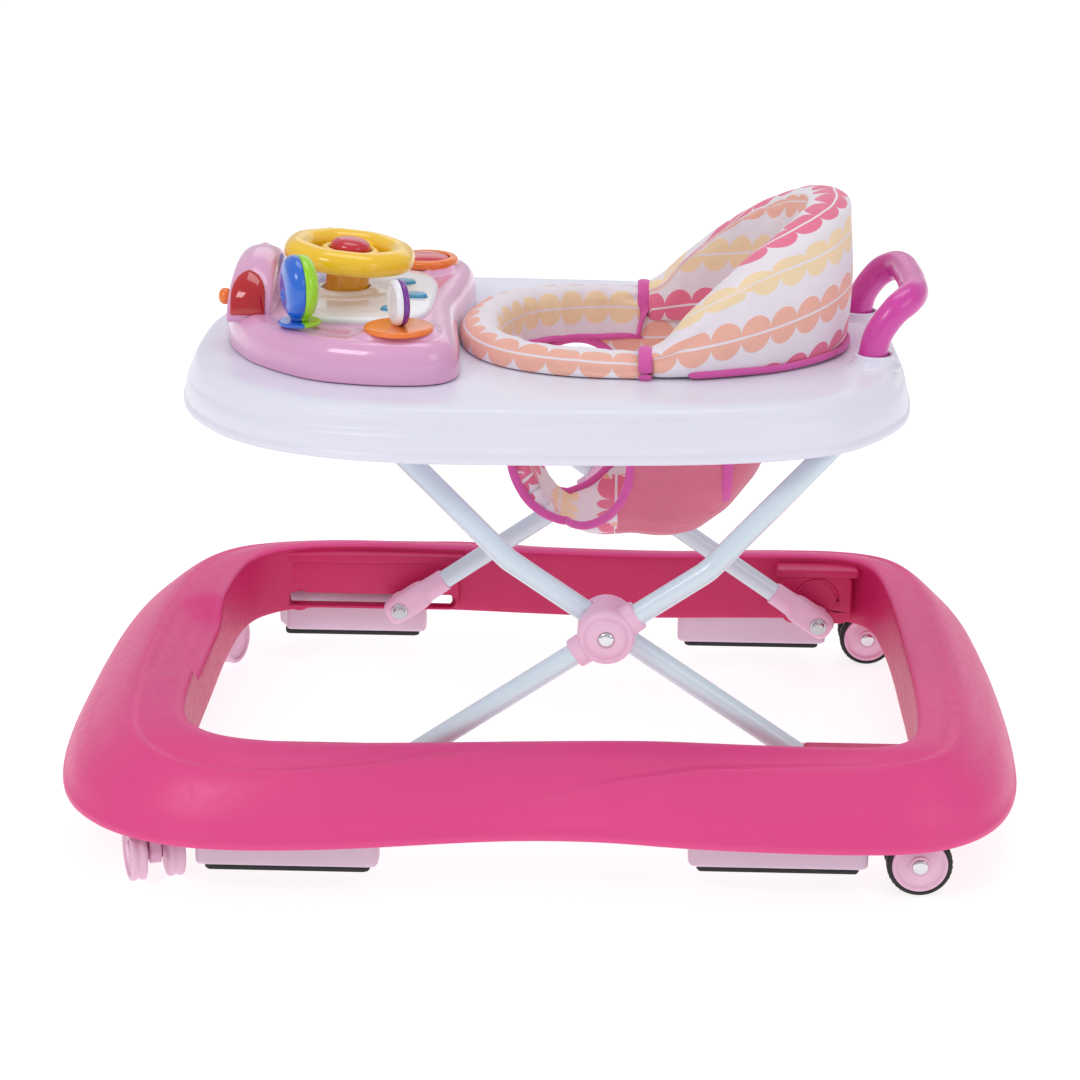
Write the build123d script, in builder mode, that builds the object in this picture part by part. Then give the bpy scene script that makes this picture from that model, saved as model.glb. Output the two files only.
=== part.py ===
from build123d import *
import math
import os

# Baby walker. X runs front (-X, toy tray) to rear (+X, seat back and push handle),
# Y across, Z up, floor at z = 0. Millimetres.

# ---- driving dimensions ----
RIM_Z = 45.0            # lower edge of the base ring above the floor
CREST_Z = 100.0         # top of the base ring
WALL = 3.0              # moulded wall thickness
TUBE_R, TUBE_T = 8.0, 1.2
HUB = (49.0, 174.3)     # scissor pivot, x and z
REAR_FOOT = (227.0, 52.0)
FRONT_FOOT = (-129.0, 52.0)
LEG_Y_IN, LEG_Y_OUT = 174.0, 192.0   # planes of the inner and outer leg tubes
BAR_Z = 312.0           # cross bars under the tray
BAR_Y = 150.0
BEND = 86.0             # straight run past the hub before the bend
UP_ANG = 43.0           # slope of the upper leg runs
TRAY_Z, DECK_Z = 307.0, 342.0
HOLE = (-40, 200, 98)
WHEEL_X, WHEEL_R, WHEEL_Y = 273.6, 23.5, 246.0
CASTER_X, CASTER_Y, CASTER_R = -279.0, 216.0, 21.0
TRAIL = 22.0            # caster wheel behind its swivel axis
LOW_ANG = math.degrees(math.atan2(HUB[1] - REAR_FOOT[1], REAR_FOOT[0] - HUB[0]))

os.makedirs("parts", exist_ok=True)


def save(bp, name):
    bp.part.label = name
    export_step(bp.part, "parts/" + name + ".step")


# ---- plan outlines, given for +Y as (x, y) from the front round to the rear ----
RIM = [(-360, 0), (-359, 80), (-353, 150), (-341, 200), (-322, 233), (-290, 262), (-238, 281),
       (-161, 281), (-37, 266), (47, 263), (117, 268), (230, 270), (288, 260), (328, 225),
       (350, 168), (358, 90), (360, 0)]
CREST = [(-264, 0), (-264, 80), (-261, 140), (-254, 178), (-238, 200), (-214, 213), (-166, 219),
         (-96, 216), (3, 208), (81, 204), (153, 208), (224, 210), (258, 203), (273, 180),
         (279, 125), (281, 60), (281, 0)]
TRAY = [(-272, 0), (-270, 50), (-256, 106), (-219, 163), (-165, 198), (-95, 214), (0, 214),
        (112, 206), (182, 189), (225, 162), (261, 104), (271, 52), (273, 0)]
TOYS = [(-245, 0), (-242, 30), (-231, 65), (-211, 101), (-172, 139), (-135, 153), (-100, 156),
        (-74, 150), (-61, 131), (-60, 100), (-63, 60), (-66, 25), (-67, 0)]
BODY_C = (0.0, 0.0)


def polar(pts, n, centre):
    """Radius of a mirrored outline at n equal angles about centre, by dense smooth resampling."""
    full = pts + [(x, -y) for x, y in reversed(pts[1:-1])]
    m = len(full)
    dense = []
    for i in range(m):
        p0, p1, p2, p3 = full[i - 1], full[i], full[(i + 1) % m], full[(i + 2) % m]
        for k in range(12):
            t = k / 12
            dense.append(tuple(0.5 * (2 * p1[j] + (p2[j] - p0[j]) * t
                         + (2 * p0[j] - 5 * p1[j] + 4 * p2[j] - p3[j]) * t * t
                         + (3 * p1[j] - p0[j] - 3 * p2[j] + p3[j]) * t ** 3) for j in (0, 1)))
    out = []
    for i in range(n):
        a = 2 * math.pi * i / n
        ca, sa = math.cos(a), math.sin(a)
        best = 0.0
        for j in range(len(dense)):
            (x1, y1), (x2, y2) = dense[j], dense[(j + 1) % len(dense)]
            x1, y1, x2, y2 = x1 - centre[0], y1 - centre[1], x2 - centre[0], y2 - centre[1]
            c1, c2 = ca * y1 - sa * x1, ca * y2 - sa * x2
            if (c1 <= 0 < c2) or (c2 <= 0 < c1):
                f = c1 / (c1 - c2)
                r = (x1 + f * (x2 - x1)) * ca + (y1 + f * (y2 - y1)) * sa
                best = max(best, r)
        out.append((centre[0] + best * ca, centre[1] + best * sa))
    return out


def inset(pts, d):
    """Outline moved inward by d along its normals."""
    n = len(pts)
    res = []
    for i in range(n):
        (x0, y0), (x1, y1) = pts[i - 1], pts[(i + 1) % n]
        tx, ty = x1 - x0, y1 - y0
        l = math.hypot(tx, ty)
        res.append((pts[i][0] - ty / l * d, pts[i][1] + tx / l * d))
    return res


def mix(a, b, t):
    return [(p[0] + (q[0] - p[0]) * t, p[1] + (q[1] - p[1]) * t) for p, q in zip(a, b)]



def lofted(levels):
    """Solid blended through closed smooth outlines, each given as (points, height)."""
    with BuildPart() as b:
        for pts, z in levels:
            with BuildSketch(Plane.XY.offset(z)):
                with BuildLine():
                    Spline(*pts, periodic=True)
                make_face()
        loft()
    return b.part


def prism(pts, z0, z1):
    """Straight-sided solid on a closed smooth outline."""
    with BuildPart() as b:
        with BuildSketch(Plane.XY.offset(z0)):
            with BuildLine():
                Spline(*pts, periodic=True)
            make_face()
        extrude(amount=z1 - z0)
    return b.part


def rod(x, z, r, y0, y1):
    """Round bar along Y between two y values."""
    with BuildPart() as b:
        with BuildSketch(Plane(origin=(x, y0, z), z_dir=(0, 1 if y1 > y0 else -1, 0), x_dir=(1, 0, 0))):
            Circle(r)
        extrude(amount=abs(y1 - y0))
    return b.part


def post(x, y, r, z0, z1):
    """Round bar along Z."""
    with BuildPart() as b:
        with BuildSketch(Plane.XY.offset(z0)):
            with Locations((x, y)):
                Circle(r)
        extrude(amount=z1 - z0)
    return b.part


def block(x0, x1, y0, y1, z0, z1, r=0.0):
    """Upright block, plan corners rounded by r."""
    with BuildPart() as b:
        with BuildSketch(Plane.XY.offset(z0)):
            with Locations(((x0 + x1) / 2, (y0 + y1) / 2)):
                if r:
                    RectangleRounded(abs(x1 - x0), abs(y1 - y0), r)
                else:
                    Rectangle(abs(x1 - x0), abs(y1 - y0))
        extrude(amount=z1 - z0)
    return b.part


def leg_plane(x, z, ang, y):
    """Plane on a leg's side: local x up the tube, local z towards -Y."""
    a = math.radians(ang)
    return Plane(origin=(x, y, z), x_dir=(math.cos(a), 0, math.sin(a)), z_dir=(0, -1, 0))


def spun(profile, origin, axis_dir, x_dir):
    """Solid of revolution: profile is (radius, distance along the axis) points."""
    pl = Plane(origin=origin, x_dir=x_dir, z_dir=Vector(*x_dir).cross(Vector(*axis_dir)))
    with BuildPart() as b:
        with BuildSketch(pl):
            with BuildLine():
                Polyline(*profile, close=True)
            make_face()
        revolve(axis=Axis(origin, axis_dir))
    return b.part


N = 56
rim = polar(RIM, N, (0.0, 0.0))
crest = polar(CREST, N, (0.0, 0.0))
top_edge = inset(crest, -7)
tray_rim = polar(TRAY, N, (0.0, 0.0))
hx0, hx1, hy = HOLE

# ================= base =================
PAD_X0, PAD_X1 = -241.0, -80.0      # slot guide along the front half of each side
SLOT_X0, SLOT_X1 = -213.0, -88.0
base_outer = lofted([(inset(rim, 2.5), RIM_Z - 4), (inset(rim, 2.5), RIM_Z), (inset(mix(rim, top_edge, 0.12), 1), 64),
                     (mix(rim, top_edge, 0.48), 85), (top_edge, CREST_Z)])
base_hollow = lofted([(inset(rim, 5.5), RIM_Z - 6), (inset(rim, 5.5), RIM_Z),
                      (inset(mix(rim, top_edge, 0.12), 4), 63), (inset(mix(rim, top_edge, 0.48), 3.2), 82.5),
                      (inset(top_edge, WALL), CREST_Z - WALL)])
base_hollow -= prism(inset(crest, -WALL), 0, 200)
base_well = prism(crest, 0, 200)
base_bead = prism(rim, RIM_Z - 4, RIM_Z + 3) - prism(inset(rim, 5.5), 0, 200)
FIX = []        # fixing bosses: x, y, lower end
for s in (1, -1):
    FIX += [(-200, 240 * s, 74), (-150, 240 * s, 74), (140, 227 * s, 74), (205, 227 * s, 74),
            (WHEEL_X - 10, 216 * s, 70), (-302, 120 * s, 74)]
bosses = None
for x, y, z in FIX:
    c = post(x, y, 5, z, 99)
    bosses = c if bosses is None else bosses + c
SOCKETS = [(CASTER_X, CASTER_Y * s) for s in (1, -1)]
for x, y in SOCKETS:
    bosses = bosses + post(x, y, 11, 58, 99)
bosses = bosses & base_outer
guides = None
for s in (1, -1):
    g = block(PAD_X0, PAD_X1, s * 208, s * 221, 46, 90) + block(197, 257, s * 190, s * 212, 46, 90)
    guides = g if guides is None else guides + g
cuts = None
for s in (1, -1):
    with BuildPart() as slot_cut:
        with BuildSketch(Plane(origin=(0, s * 200, 0), x_dir=(1, 0, 0), z_dir=(0, -1, 0))):
            with Locations(((SLOT_X0 + SLOT_X1) / 2, FRONT_FOOT[1])):
                SlotOverall(SLOT_X1 - SLOT_X0, 11)
            with Locations((SLOT_X0, FRONT_FOOT[1])):
                Circle(8.5)
        extrude(amount=-s * 25)
    c = slot_cut.part + rod(REAR_FOOT[0], REAR_FOOT[1], 5.05, s * 180, s * 216)
    c += post(CASTER_X, CASTER_Y * s, 5.05, 50, 82)
    cuts = c if cuts is None else cuts + c
with BuildPart() as base_shell:
    add(base_outer)
    add(base_bead)
    add(base_hollow, mode=Mode.SUBTRACT)
    add(bosses)
    add(base_well, mode=Mode.SUBTRACT)
    add(guides)
    add(cuts, mode=Mode.SUBTRACT)
    # hand scoop in the front rail
    with BuildSketch(Plane.XZ.offset(110)):
        with Locations((-262, 113)):
            Circle(24)
    extrude(amount=-220, mode=Mode.SUBTRACT)
    # scoop wall
    with BuildSketch(Plane.XZ.offset(113)):
        with Locations((-262, 113)):
            Circle(27)
        with Locations((-262, 113)):
            Circle(24, mode=Mode.SUBTRACT)
        with Locations((-220, 113)):
            Rectangle(80, 80, mode=Mode.SUBTRACT)
        with Locations((-262, 140)):
            Rectangle(120, 80, mode=Mode.SUBTRACT)
    extrude(amount=-226)
save(base_shell, "base_shell")

with BuildPart() as stop_block_front:
    add(block(-318, -287, -168, 168, 16, 50, 6))
    add(block(-314, -291, -160, 160, 50, 74, 6))
    for s in (1, -1):
        add(post(-302, s * 120, 2, 60, 80), mode=Mode.SUBTRACT)
save(stop_block_front, "stop_block_front")

with BuildPart() as side_stop_blocks:
    for s in (1, -1):
        add(block(-240, -110, s * 227, s * 253, 16, 52, 5))
        add(block(-230, -120, s * 229, s * 250, 52, 74, 5))
        add(block(110, 238, s * 215, s * 240, 16, 52, 5))
        add(block(120, 228, s * 217, s * 238, 52, 74, 5))
        for x, y, z in FIX:
            if y * s > 0 and z == 74 and abs(x) < 250:
                add(post(x, y, 2, 60, 80), mode=Mode.SUBTRACT)
        # relief for the swing of the caster
        add(post(-279, s * 216, 49, 0, 60), mode=Mode.SUBTRACT)
save(side_stop_blocks, "side_stop_blocks")

with BuildPart() as stop_grip_strips:
    add(block(-314, -291, -160, 160, 12, 16, 5))
    for s in (1, -1):
        add(block(-234, -116, s * 230, s * 250, 12, 16, 5))
        add(block(116, 232, s * 218, s * 237, 12, 16, 5))
        add(post(-279, s * 216, 49, 0, 60), mode=Mode.SUBTRACT)
save(stop_grip_strips, "stop_grip_strips")

# rear wheels: a central leg carries twin rubber-tyred discs
for s, side in ((1, "left"), (-1, "right")):
    yc = s * (WHEEL_Y - 18)
    with BuildPart() as wheel_bracket:
        add(block(WHEEL_X - 9, WHEEL_X + 9, yc - 4.2, yc + 4.2, 12, 64, 3))
        add(block(WHEEL_X - 16, WHEEL_X + 10, yc - 17 if s > 0 else yc - 9, yc + 9 if s > 0 else yc + 17, 64, 70, 5))
        add(rod(WHEEL_X, WHEEL_R, 3.05, yc - 10, yc + 10), mode=Mode.SUBTRACT)
        add(post(WHEEL_X - 10, 216 * s, 2, 60, 80), mode=Mode.SUBTRACT)
    save(wheel_bracket, "rear_wheel_bracket_" + side)
    with BuildPart() as discs:
        for q in (1, -1):
            yi, yo = yc + q * 5, yc + q * 18
            add(rod(WHEEL_X, WHEEL_R, 20.0, yi, yo))
            add(rod(WHEEL_X, WHEEL_R, 15.0, yo - q * 3, yo), mode=Mode.SUBTRACT)
            add(rod(WHEEL_X, WHEEL_R, 7.0, yi, yo))
        add(rod(WHEEL_X, WHEEL_R, 3.0, yc - 30, yc + 30), mode=Mode.SUBTRACT)
    save(discs, "rear_wheel_discs_" + side)
    with BuildPart() as tyres:
        for q in (1, -1):
            yi, yo = yc + q * 6, yc + q * 17
            add(rod(WHEEL_X, WHEEL_R, WHEEL_R, yi, yo))
            add(rod(WHEEL_X, WHEEL_R, 20.0, yi, yo), mode=Mode.SUBTRACT)
    save(tyres, "rear_tyres_" + side)
    with BuildPart() as axle:
        add(rod(WHEEL_X, WHEEL_R, 3.0, yc - 20, yc + 20))
        for q in (1, -1):
            add(rod(WHEEL_X, WHEEL_R, 5.5, yc + q * 18, yc + q * 20.5))
    save(axle, "rear_axle_" + side)

# front casters, each at its own swing
CASTER_YAW = {"left": -20.0, "right": 20.0}
caster_centres = {}
for s, side in ((1, "left"), (-1, "right")):
    a = math.radians(CASTER_YAW[side])
    ax, ay = math.cos(a), math.sin(a)            # axle direction
    tx, ty = ay, -ax                             # trail direction
    sx, sy = CASTER_X, CASTER_Y * s
    wx, wy = sx + TRAIL * tx, sy + TRAIL * ty
    caster_centres[side] = (wx, wy)
    side_plane = Plane(origin=(sx, sy, 0), x_dir=(tx, ty, 0), z_dir=Vector(tx, ty, 0).cross(Vector(0, 0, 1)))
    axle_plane = Plane(origin=(wx, wy, CASTER_R), x_dir=(0, 0, 1), z_dir=(ax, ay, 0))
    with BuildPart() as fork:
        with BuildSketch(side_plane):
            with BuildLine():
                Polyline((-13, 46), (13, 46), (28, 36), (31, 21), (27, 12), (17, 12), (12, 24), (-2, 34), (-13, 40), close=True)
            make_face()
        extrude(amount=4.4, both=True)
        add(post(sx, sy, 19, 44, 52))
        add(post(sx, sy, 13, 52, 57.6))
        add(post(sx, sy, 5, 57, 81))
        with BuildSketch(axle_plane):
            Circle(2.55)
        extrude(amount=20, both=True, mode=Mode.SUBTRACT)
    save(fork, "caster_fork_" + side)
    with BuildPart() as cwheels:
        for q in (1, -1):
            with BuildSketch(axle_plane.offset(q * 7.5)):
                Circle(CASTER_R)
            extrude(amount=q * 12)
            with BuildSketch(axle_plane.offset(q * 16.5)):
                Circle(CASTER_R - 4)
                Circle(7, mode=Mode.SUBTRACT)
            extrude(amount=q * 6, mode=Mode.SUBTRACT)
            with BuildSketch(axle_plane.offset(q * 5)):
                Circle(7)
            extrude(amount=q * 4)
        with BuildSketch(axle_plane):
            Circle(2.5)
        extrude(amount=30, both=True, mode=Mode.SUBTRACT)
    save(cwheels, "caster_wheels_" + side)
    with BuildPart() as caxle:
        with BuildSketch(axle_plane):
            Circle(2.5)
        extrude(amount=19, both=True)
    save(caxle, "caster_axle_" + side)

with BuildPart() as base_screws:
    for x, y, z in FIX:
        if z == 70:
            add(post(x, y, 2, 64, 70))
            add(post(x, y, 4, 61.5, 64))
save(base_screws, "base_screws")

# ================= leg frames =================
s_bend = math.hypot(HUB[0] - REAR_FOOT[0], HUB[1] - REAR_FOOT[1]) + BEND
ca, sa = math.cos(math.radians(LOW_ANG)), math.sin(math.radians(LOW_ANG))
cu, su = math.cos(math.radians(UP_ANG)), math.sin(math.radians(UP_ANG))
bend_a = (REAR_FOOT[0] - s_bend * ca, REAR_FOOT[1] + s_bend * sa)
up = (BAR_Z - bend_a[1]) / su
top_a = (bend_a[0] - up * cu, BAR_Z)
bend_b = (FRONT_FOOT[0] + s_bend * ca, bend_a[1])
top_b = (bend_b[0] + up * cu, BAR_Z)
print("bend_a", bend_a, "top_a", top_a, "top_b", top_b)

LEGS = {"a": (REAR_FOOT, bend_a, top_a, LEG_Y_IN, 180 - LOW_ANG), "b": (FRONT_FOOT, bend_b, top_b, LEG_Y_OUT, LOW_ANG)}
for key, (foot, bend, top, yl, ang) in LEGS.items():
    d = (math.cos(math.radians(ang)), math.sin(math.radians(ang)))
    st = (foot[0] - 6 * d[0], foot[1] - 6 * d[1])
    with BuildPart() as tube:
        with BuildLine() as tube_path:
            FilletPolyline((st[0], -yl, st[1]), (bend[0], -yl, bend[1]), (top[0], -BAR_Y, top[1]),
                           (top[0], BAR_Y, top[1]), (bend[0], yl, bend[1]), (st[0], yl, st[1]),
                           radius=30)
        with BuildSketch(Plane(origin=(st[0], -yl, st[1]), z_dir=(d[0], 0, d[1]))):
            Circle(TUBE_R)
            Circle(TUBE_R - TUBE_T, mode=Mode.SUBTRACT)
        sweep(path=tube_path.line)
        for s in (1, -1):
            add(rod(foot[0], foot[1], 5.0, s * (yl - 12), s * (yl + 12)), mode=Mode.SUBTRACT)
            add(rod(HUB[0], HUB[1], 3.0 if key == "a" else 3.05, s * (yl - 12), s * (yl + 12)), mode=Mode.SUBTRACT)
    save(tube, "leg_tube_" + key)

for key, (foot, bend, top, yl, ang) in LEGS.items():
    for s, side in ((1, "left"), (-1, "right")):
        with BuildPart() as bracket:
            with BuildSketch(leg_plane(foot[0], foot[1], ang, s * yl)):
                with Locations((17, 0)):
                    RectangleRounded(60, 22, 6)
            extrude(amount=11, both=True)
            add(rod(foot[0], foot[1], 10, s * (yl + 11), s * (yl + (15.6 if key == "a" else 15.6))))
            with BuildSketch(Plane(origin=(foot[0] - 6 * math.cos(math.radians(ang)), s * yl, foot[1] - 6 * math.sin(math.radians(ang))),
                                   z_dir=(math.cos(math.radians(ang)), 0, math.sin(math.radians(ang))))):
                Circle(TUBE_R)
            extrude(amount=80, mode=Mode.SUBTRACT)
            add(rod(foot[0], foot[1], 5.0, s * (yl - 20), s * (yl + 20)), mode=Mode.SUBTRACT)
        save(bracket, ("pivot_foot_" if key == "a" else "slide_foot_") + side)

with BuildPart() as pivot_pins:
    for s in (1, -1):
        add(rod(REAR_FOOT[0], REAR_FOOT[1], 5.0, s * (LEG_Y_IN - 11), s * 213))
        add(rod(REAR_FOOT[0], REAR_FOOT[1], 7.0, s * (LEG_Y_IN - 14), s * (LEG_Y_IN - 11)))
save(pivot_pins, "pivot_foot_pins")
with BuildPart() as slide_pins:
    for s in (1, -1):
        add(rod(FRONT_FOOT[0], FRONT_FOOT[1], 5.0, s * (LEG_Y_OUT - 11), s * 225.5))
        add(rod(FRONT_FOOT[0], FRONT_FOOT[1], 7.0, s * (LEG_Y_OUT - 14), s * (LEG_Y_OUT - 11)))
        add(rod(FRONT_FOOT[0], FRONT_FOOT[1], 7.5, s * 223, s * 225.5))
save(slide_pins, "slide_foot_pins")

for s, side in ((1, "left"), (-1, "right")):
    with BuildPart() as hub_outer:
        with BuildSketch(leg_plane(HUB[0], HUB[1], LOW_ANG, s * LEG_Y_OUT)):
            Circle(11)
            Rectangle(60, 22)
        extrude(amount=11, both=True)
        add(rod(HUB[0], HUB[1], 20.5, s * 183.4, s * 201.5))
        add(rod(HUB[0], HUB[1], 17, s * 201, s * 203))
        add(rod(HUB[0], HUB[1], 13, s * 202, s * 204.6))
        add(block(-20, 120, s * 170, s * 183.4, 100, 250), mode=Mode.SUBTRACT)
        with BuildSketch(Plane(origin=(HUB[0] - 60 * ca, s * LEG_Y_OUT, HUB[1] - 60 * sa), z_dir=(ca, 0, sa))):
            Circle(TUBE_R)
        extrude(amount=120, mode=Mode.SUBTRACT)
        add(rod(HUB[0], HUB[1], 3.05, s * 180, s * 212), mode=Mode.SUBTRACT)
    save(hub_outer, "hub_outer_cap_" + side)
with BuildPart() as hub_inner:
    for s in (1, -1):
        add(rod(HUB[0], HUB[1], 20.5, s * 164, s * 182.6))
        with BuildSketch(Plane(origin=(HUB[0] + 60 * ca, s * LEG_Y_IN, HUB[1] - 60 * sa), z_dir=(-ca, 0, sa))):
            Circle(TUBE_R)
        extrude(amount=120, mode=Mode.SUBTRACT)
        add(rod(HUB[0], HUB[1], 3.0, s * 160, s * 190), mode=Mode.SUBTRACT)
save(hub_inner, "hub_inner_caps")
with BuildPart() as hub_rivets:
    for s in (1, -1):
        add(rod(HUB[0], HUB[1], 3.0, s * 161, s * 206.4))
        add(rod(HUB[0], HUB[1], 5.5, s * 161, s * 163.8))
        add(rod(HUB[0], HUB[1], 5.5, s * 204.8, s * 206.4))
save(hub_rivets, "hub_rivets")

# ================= tray =================
with BuildPart() as hole_solid:
    with BuildSketch(Plane.XY.offset(300)):
        with Locations(((hx0 + hx1) / 2, 0)):
            RectangleRounded(hx1 - hx0, 2 * hy, 80)
    extrude(amount=60)
with BuildPart() as collar_solid:
    with BuildSketch(Plane.XY.offset(320)):
        with Locations(((hx0 + hx1) / 2, 0)):
            RectangleRounded(hx1 - hx0 + 6, 2 * hy + 6, 83)
    extrude(amount=DECK_Z - 320)
tray_outer = lofted([(inset(tray_rim, 1.5), TRAY_Z), (inset(tray_rim, 4), 322), (inset(tray_rim, 9), 334), (inset(tray_rim, 17), DECK_Z)])
tray_hollow = lofted([(inset(tray_rim, 4.5), TRAY_Z - 4), (inset(tray_rim, 4.5), TRAY_Z), (inset(tray_rim, 7), 321), (inset(tray_rim, 12), 332), (inset(tray_rim, 20), DECK_Z - WALL)])
HANDLE_X, HANDLE_Y = 241.0, 67.0
RACK_Y, CLAMP_Y = 105.0, 90.0
with BuildPart() as tray_shell:
    add(tray_outer)
    add(prism(tray_rim, TRAY_Z - 3, TRAY_Z + 3))
    add(tray_hollow, mode=Mode.SUBTRACT)
    add(collar_solid.part)
    add(hole_solid.part, mode=Mode.SUBTRACT)
    for s in (1, -1):
        add(post(HANDLE_X, s * HANDLE_Y, 14.5, DECK_Z - 3, DECK_Z + 8))
        add(post(HANDLE_X, s * HANDLE_Y, 11, DECK_Z, DECK_Z + 12), mode=Mode.SUBTRACT)
save(tray_shell, "tray_shell")

with BuildPart() as rack:
    for s in (1, -1):
        with BuildSketch(Plane(origin=(0, s * RACK_Y, 0), x_dir=(1, 0, 0), z_dir=(0, -1, 0))):
            with Locations((-148, 320)):
                RectangleRounded(176, 38, 6)
            with Locations((-146, BAR_Z)):
                SlotOverall(152, 17.4, mode=Mode.SUBTRACT)
            for x in (-117.3, -99.3):
                with Locations((x, BAR_Z + 2)):
                    Circle(9.2, mode=Mode.SUBTRACT)
        extrude(amount=2.5, both=True)
save(rack, "height_racks")
with BuildPart() as rear_hinge_clamps:
    for s in (1, -1):
        add(block(top_b[0] - 13, top_b[0] + 13, s * (CLAMP_Y - 12), s * (CLAMP_Y + 12), 300, DECK_Z - WALL, 4))
        add(rod(top_b[0], BAR_Z, TUBE_R + 0.05, s * (CLAMP_Y - 20), s * (CLAMP_Y + 20)), mode=Mode.SUBTRACT)
save(rear_hinge_clamps, "rear_hinge_clamps")

with BuildPart() as push_handle:
    with BuildLine() as handle_path:
        FilletPolyline((HANDLE_X, -HANDLE_Y, DECK_Z), (HANDLE_X, -HANDLE_Y, DECK_Z + 18), (269, -60, 389), (269, 60, 389),
                       (HANDLE_X, HANDLE_Y, DECK_Z + 18), (HANDLE_X, HANDLE_Y, DECK_Z), radius=12)
    with BuildSketch(Plane(origin=(HANDLE_X, -HANDLE_Y, DECK_Z), z_dir=(0, 0, 1))):
        Circle(10.9)
    sweep(path=handle_path.line)
save(push_handle, "push_handle")

# ---- soft seat ----
RING_OUT = [(72, 122), (40, 121), (10, 114), (-18, 103), (-46, 76), (-60, 44), (-64, 0)]
RING_IN = [(72, 91), (40, 90), (14, 85), (-8, 74), (-25, 52), (-33, 28), (-35, 0)]
with BuildPart() as seat_ring:
    with BuildSketch(Plane.XY.offset(DECK_Z + 0.3)):
        with BuildLine():
            Spline(*RING_OUT, *[(x, -y) for x, y in RING_OUT[-2::-1]])
            Line((72, -122), (72, -91))
            Spline(*[(x, -y) for x, y in RING_IN], *[(x, y) for x, y in RING_IN[-2::-1]])
            Line((72, 91), (72, 122))
        make_face()
    extrude(amount=18.5)
    fillet(seat_ring.faces().sort_by(Axis.Z)[-1].edges(), 8)
save(seat_ring, "seat_ring")

BACK_OUT = [(74, 122), (98, 120), (128, 113), (168, 95), (200, 68), (221, 36), (229, 0)]
BACK_IN = [(74, 88), (96, 87), (120, 82), (150, 68), (173, 48), (187, 25), (192, 0)]
with BuildPart() as seat_back:
    with BuildSketch(Plane.XY.offset(DECK_Z + 0.3)):
        with BuildLine():
            Spline(*BACK_OUT, *[(x, -y) for x, y in BACK_OUT[-2::-1]])
            Line((74, -122), (74, -88))
            Spline(*[(x, -y) for x, y in BACK_IN], *[(x, y) for x, y in BACK_IN[-2::-1]])
            Line((74, 88), (74, 122))
        make_face()
    extrude(amount=130)
    with BuildSketch(Plane(origin=(0, 200, 0), x_dir=(1, 0, 0), z_dir=(0, -1, 0))):
        with BuildLine():
            Polyline((60, 360), (84, 363), (100, 378), (117, 395), (132, 409), (155, 425), (184, 443), (205, 454), (222, 460), (245, 460), (245, 520), (60, 520), close=True)
        make_face()
    extrude(amount=400, mode=Mode.SUBTRACT)
save(seat_back, "seat_back")

sling_outer = [(-36, 196, 94, 77, 338), (-30, 190, 90, 72, 300), (0, 165, 80, 62, 240), (28, 125, 58, 40, 198)]
with BuildPart() as seat_sling:
    for x0, x1, h, r, z in sling_outer:
        with BuildSketch(Plane.XY.offset(z)):
            with Locations(((x0 + x1) / 2, 0)):
                RectangleRounded(x1 - x0, 2 * h, r)
    loft()
    for x0, x1, h, r, z in [(-36, 196, 94, 77, 342)] + sling_outer:
        with BuildSketch(Plane.XY.offset(z + 4)):
            with Locations(((x0 + x1) / 2, 0)):
                RectangleRounded(x1 - x0 - 8, 2 * h - 8, r - 4)
    loft(mode=Mode.SUBTRACT)
    for s in (1, -1):
        add(rod(18, 262, 46, s * 34, s * 140), mode=Mode.SUBTRACT)
save(seat_sling, "seat_sling")

# ================= toy tray =================
TZ0, TZ1 = DECK_Z + 0.3, 372.0
toy_c = (-150.0, 0.0)
toys = polar(TOYS, N, toy_c)

HUMP = (-236.0, 35.0, 62.0, 42.0)      # front face x, depth, half width, rise
TURN_C, BUTTON_C, SPIN_C = (-103.0, -116.0), (-99.0, 106.0), (-176.0, 98.0)
KNOB = (-24.0, 375.5)
COL_C, COL_TILT = (-152.0, 0.0, 374.0), 6.0
KEYS = [(-110.6, 28.0), (-98.7, -15.0), (-111.7, -58.0)]
with BuildPart() as play_tray_shell:
    add(lofted([(toys, TZ0), (inset(toys, 1), 352), (inset(toys, 6), 366), (inset(toys, 12), TZ1)]))
    # lamp hump
    with BuildSketch(Plane.YZ.offset(HUMP[0])):
        with Locations((0, 366)):
            Ellipse(HUMP[2], HUMP[3])
        with Locations((0, 330)):
            Rectangle(200, 60, mode=Mode.SUBTRACT)
    extrude(amount=HUMP[1])
    add(lofted([(inset(toys, 2.8), TZ0 - 1), (inset(toys, 3.8), 351), (inset(toys, 8.6), 363.6), (inset(toys, 14.6), TZ1 - 2.6)]), mode=Mode.SUBTRACT)
    with BuildSketch(Plane.YZ.offset(HUMP[0] + 2.5)):
        with Locations((0, 366)):
            Ellipse(HUMP[2] - 2.5, HUMP[3] - 2.5)
        with Locations((0, 330)):
            Rectangle(200, 60, mode=Mode.SUBTRACT)
    extrude(amount=HUMP[1] - 5, mode=Mode.SUBTRACT)
    # raised bosses for the turntable and the round button
    add(post(TURN_C[0], TURN_C[1], 30, TZ1 - 2.6, TZ1 + 3))
    add(post(BUTTON_C[0], BUTTON_C[1], 30, TZ1 - 2.6, TZ1 + 3.5))
    # openings for the moving toys
    add(post(TURN_C[0], TURN_C[1], 4.05, 350, 390), mode=Mode.SUBTRACT)
    add(post(BUTTON_C[0], BUTTON_C[1], 22, 350, 390), mode=Mode.SUBTRACT)
    for q in (1, -1):
        add(post(SPIN_C[0], q * SPIN_C[1], 4.05, 350, 390), mode=Mode.SUBTRACT)
    add(block(-190, -84, -84, 84, 355, 380, 30), mode=Mode.SUBTRACT)
    with BuildSketch(Plane.YZ.offset(-250)):
        with Locations(KNOB):
            Circle(3.05)
    extrude(amount=22, mode=Mode.SUBTRACT)
save(play_tray_shell, "play_tray_shell")

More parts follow.
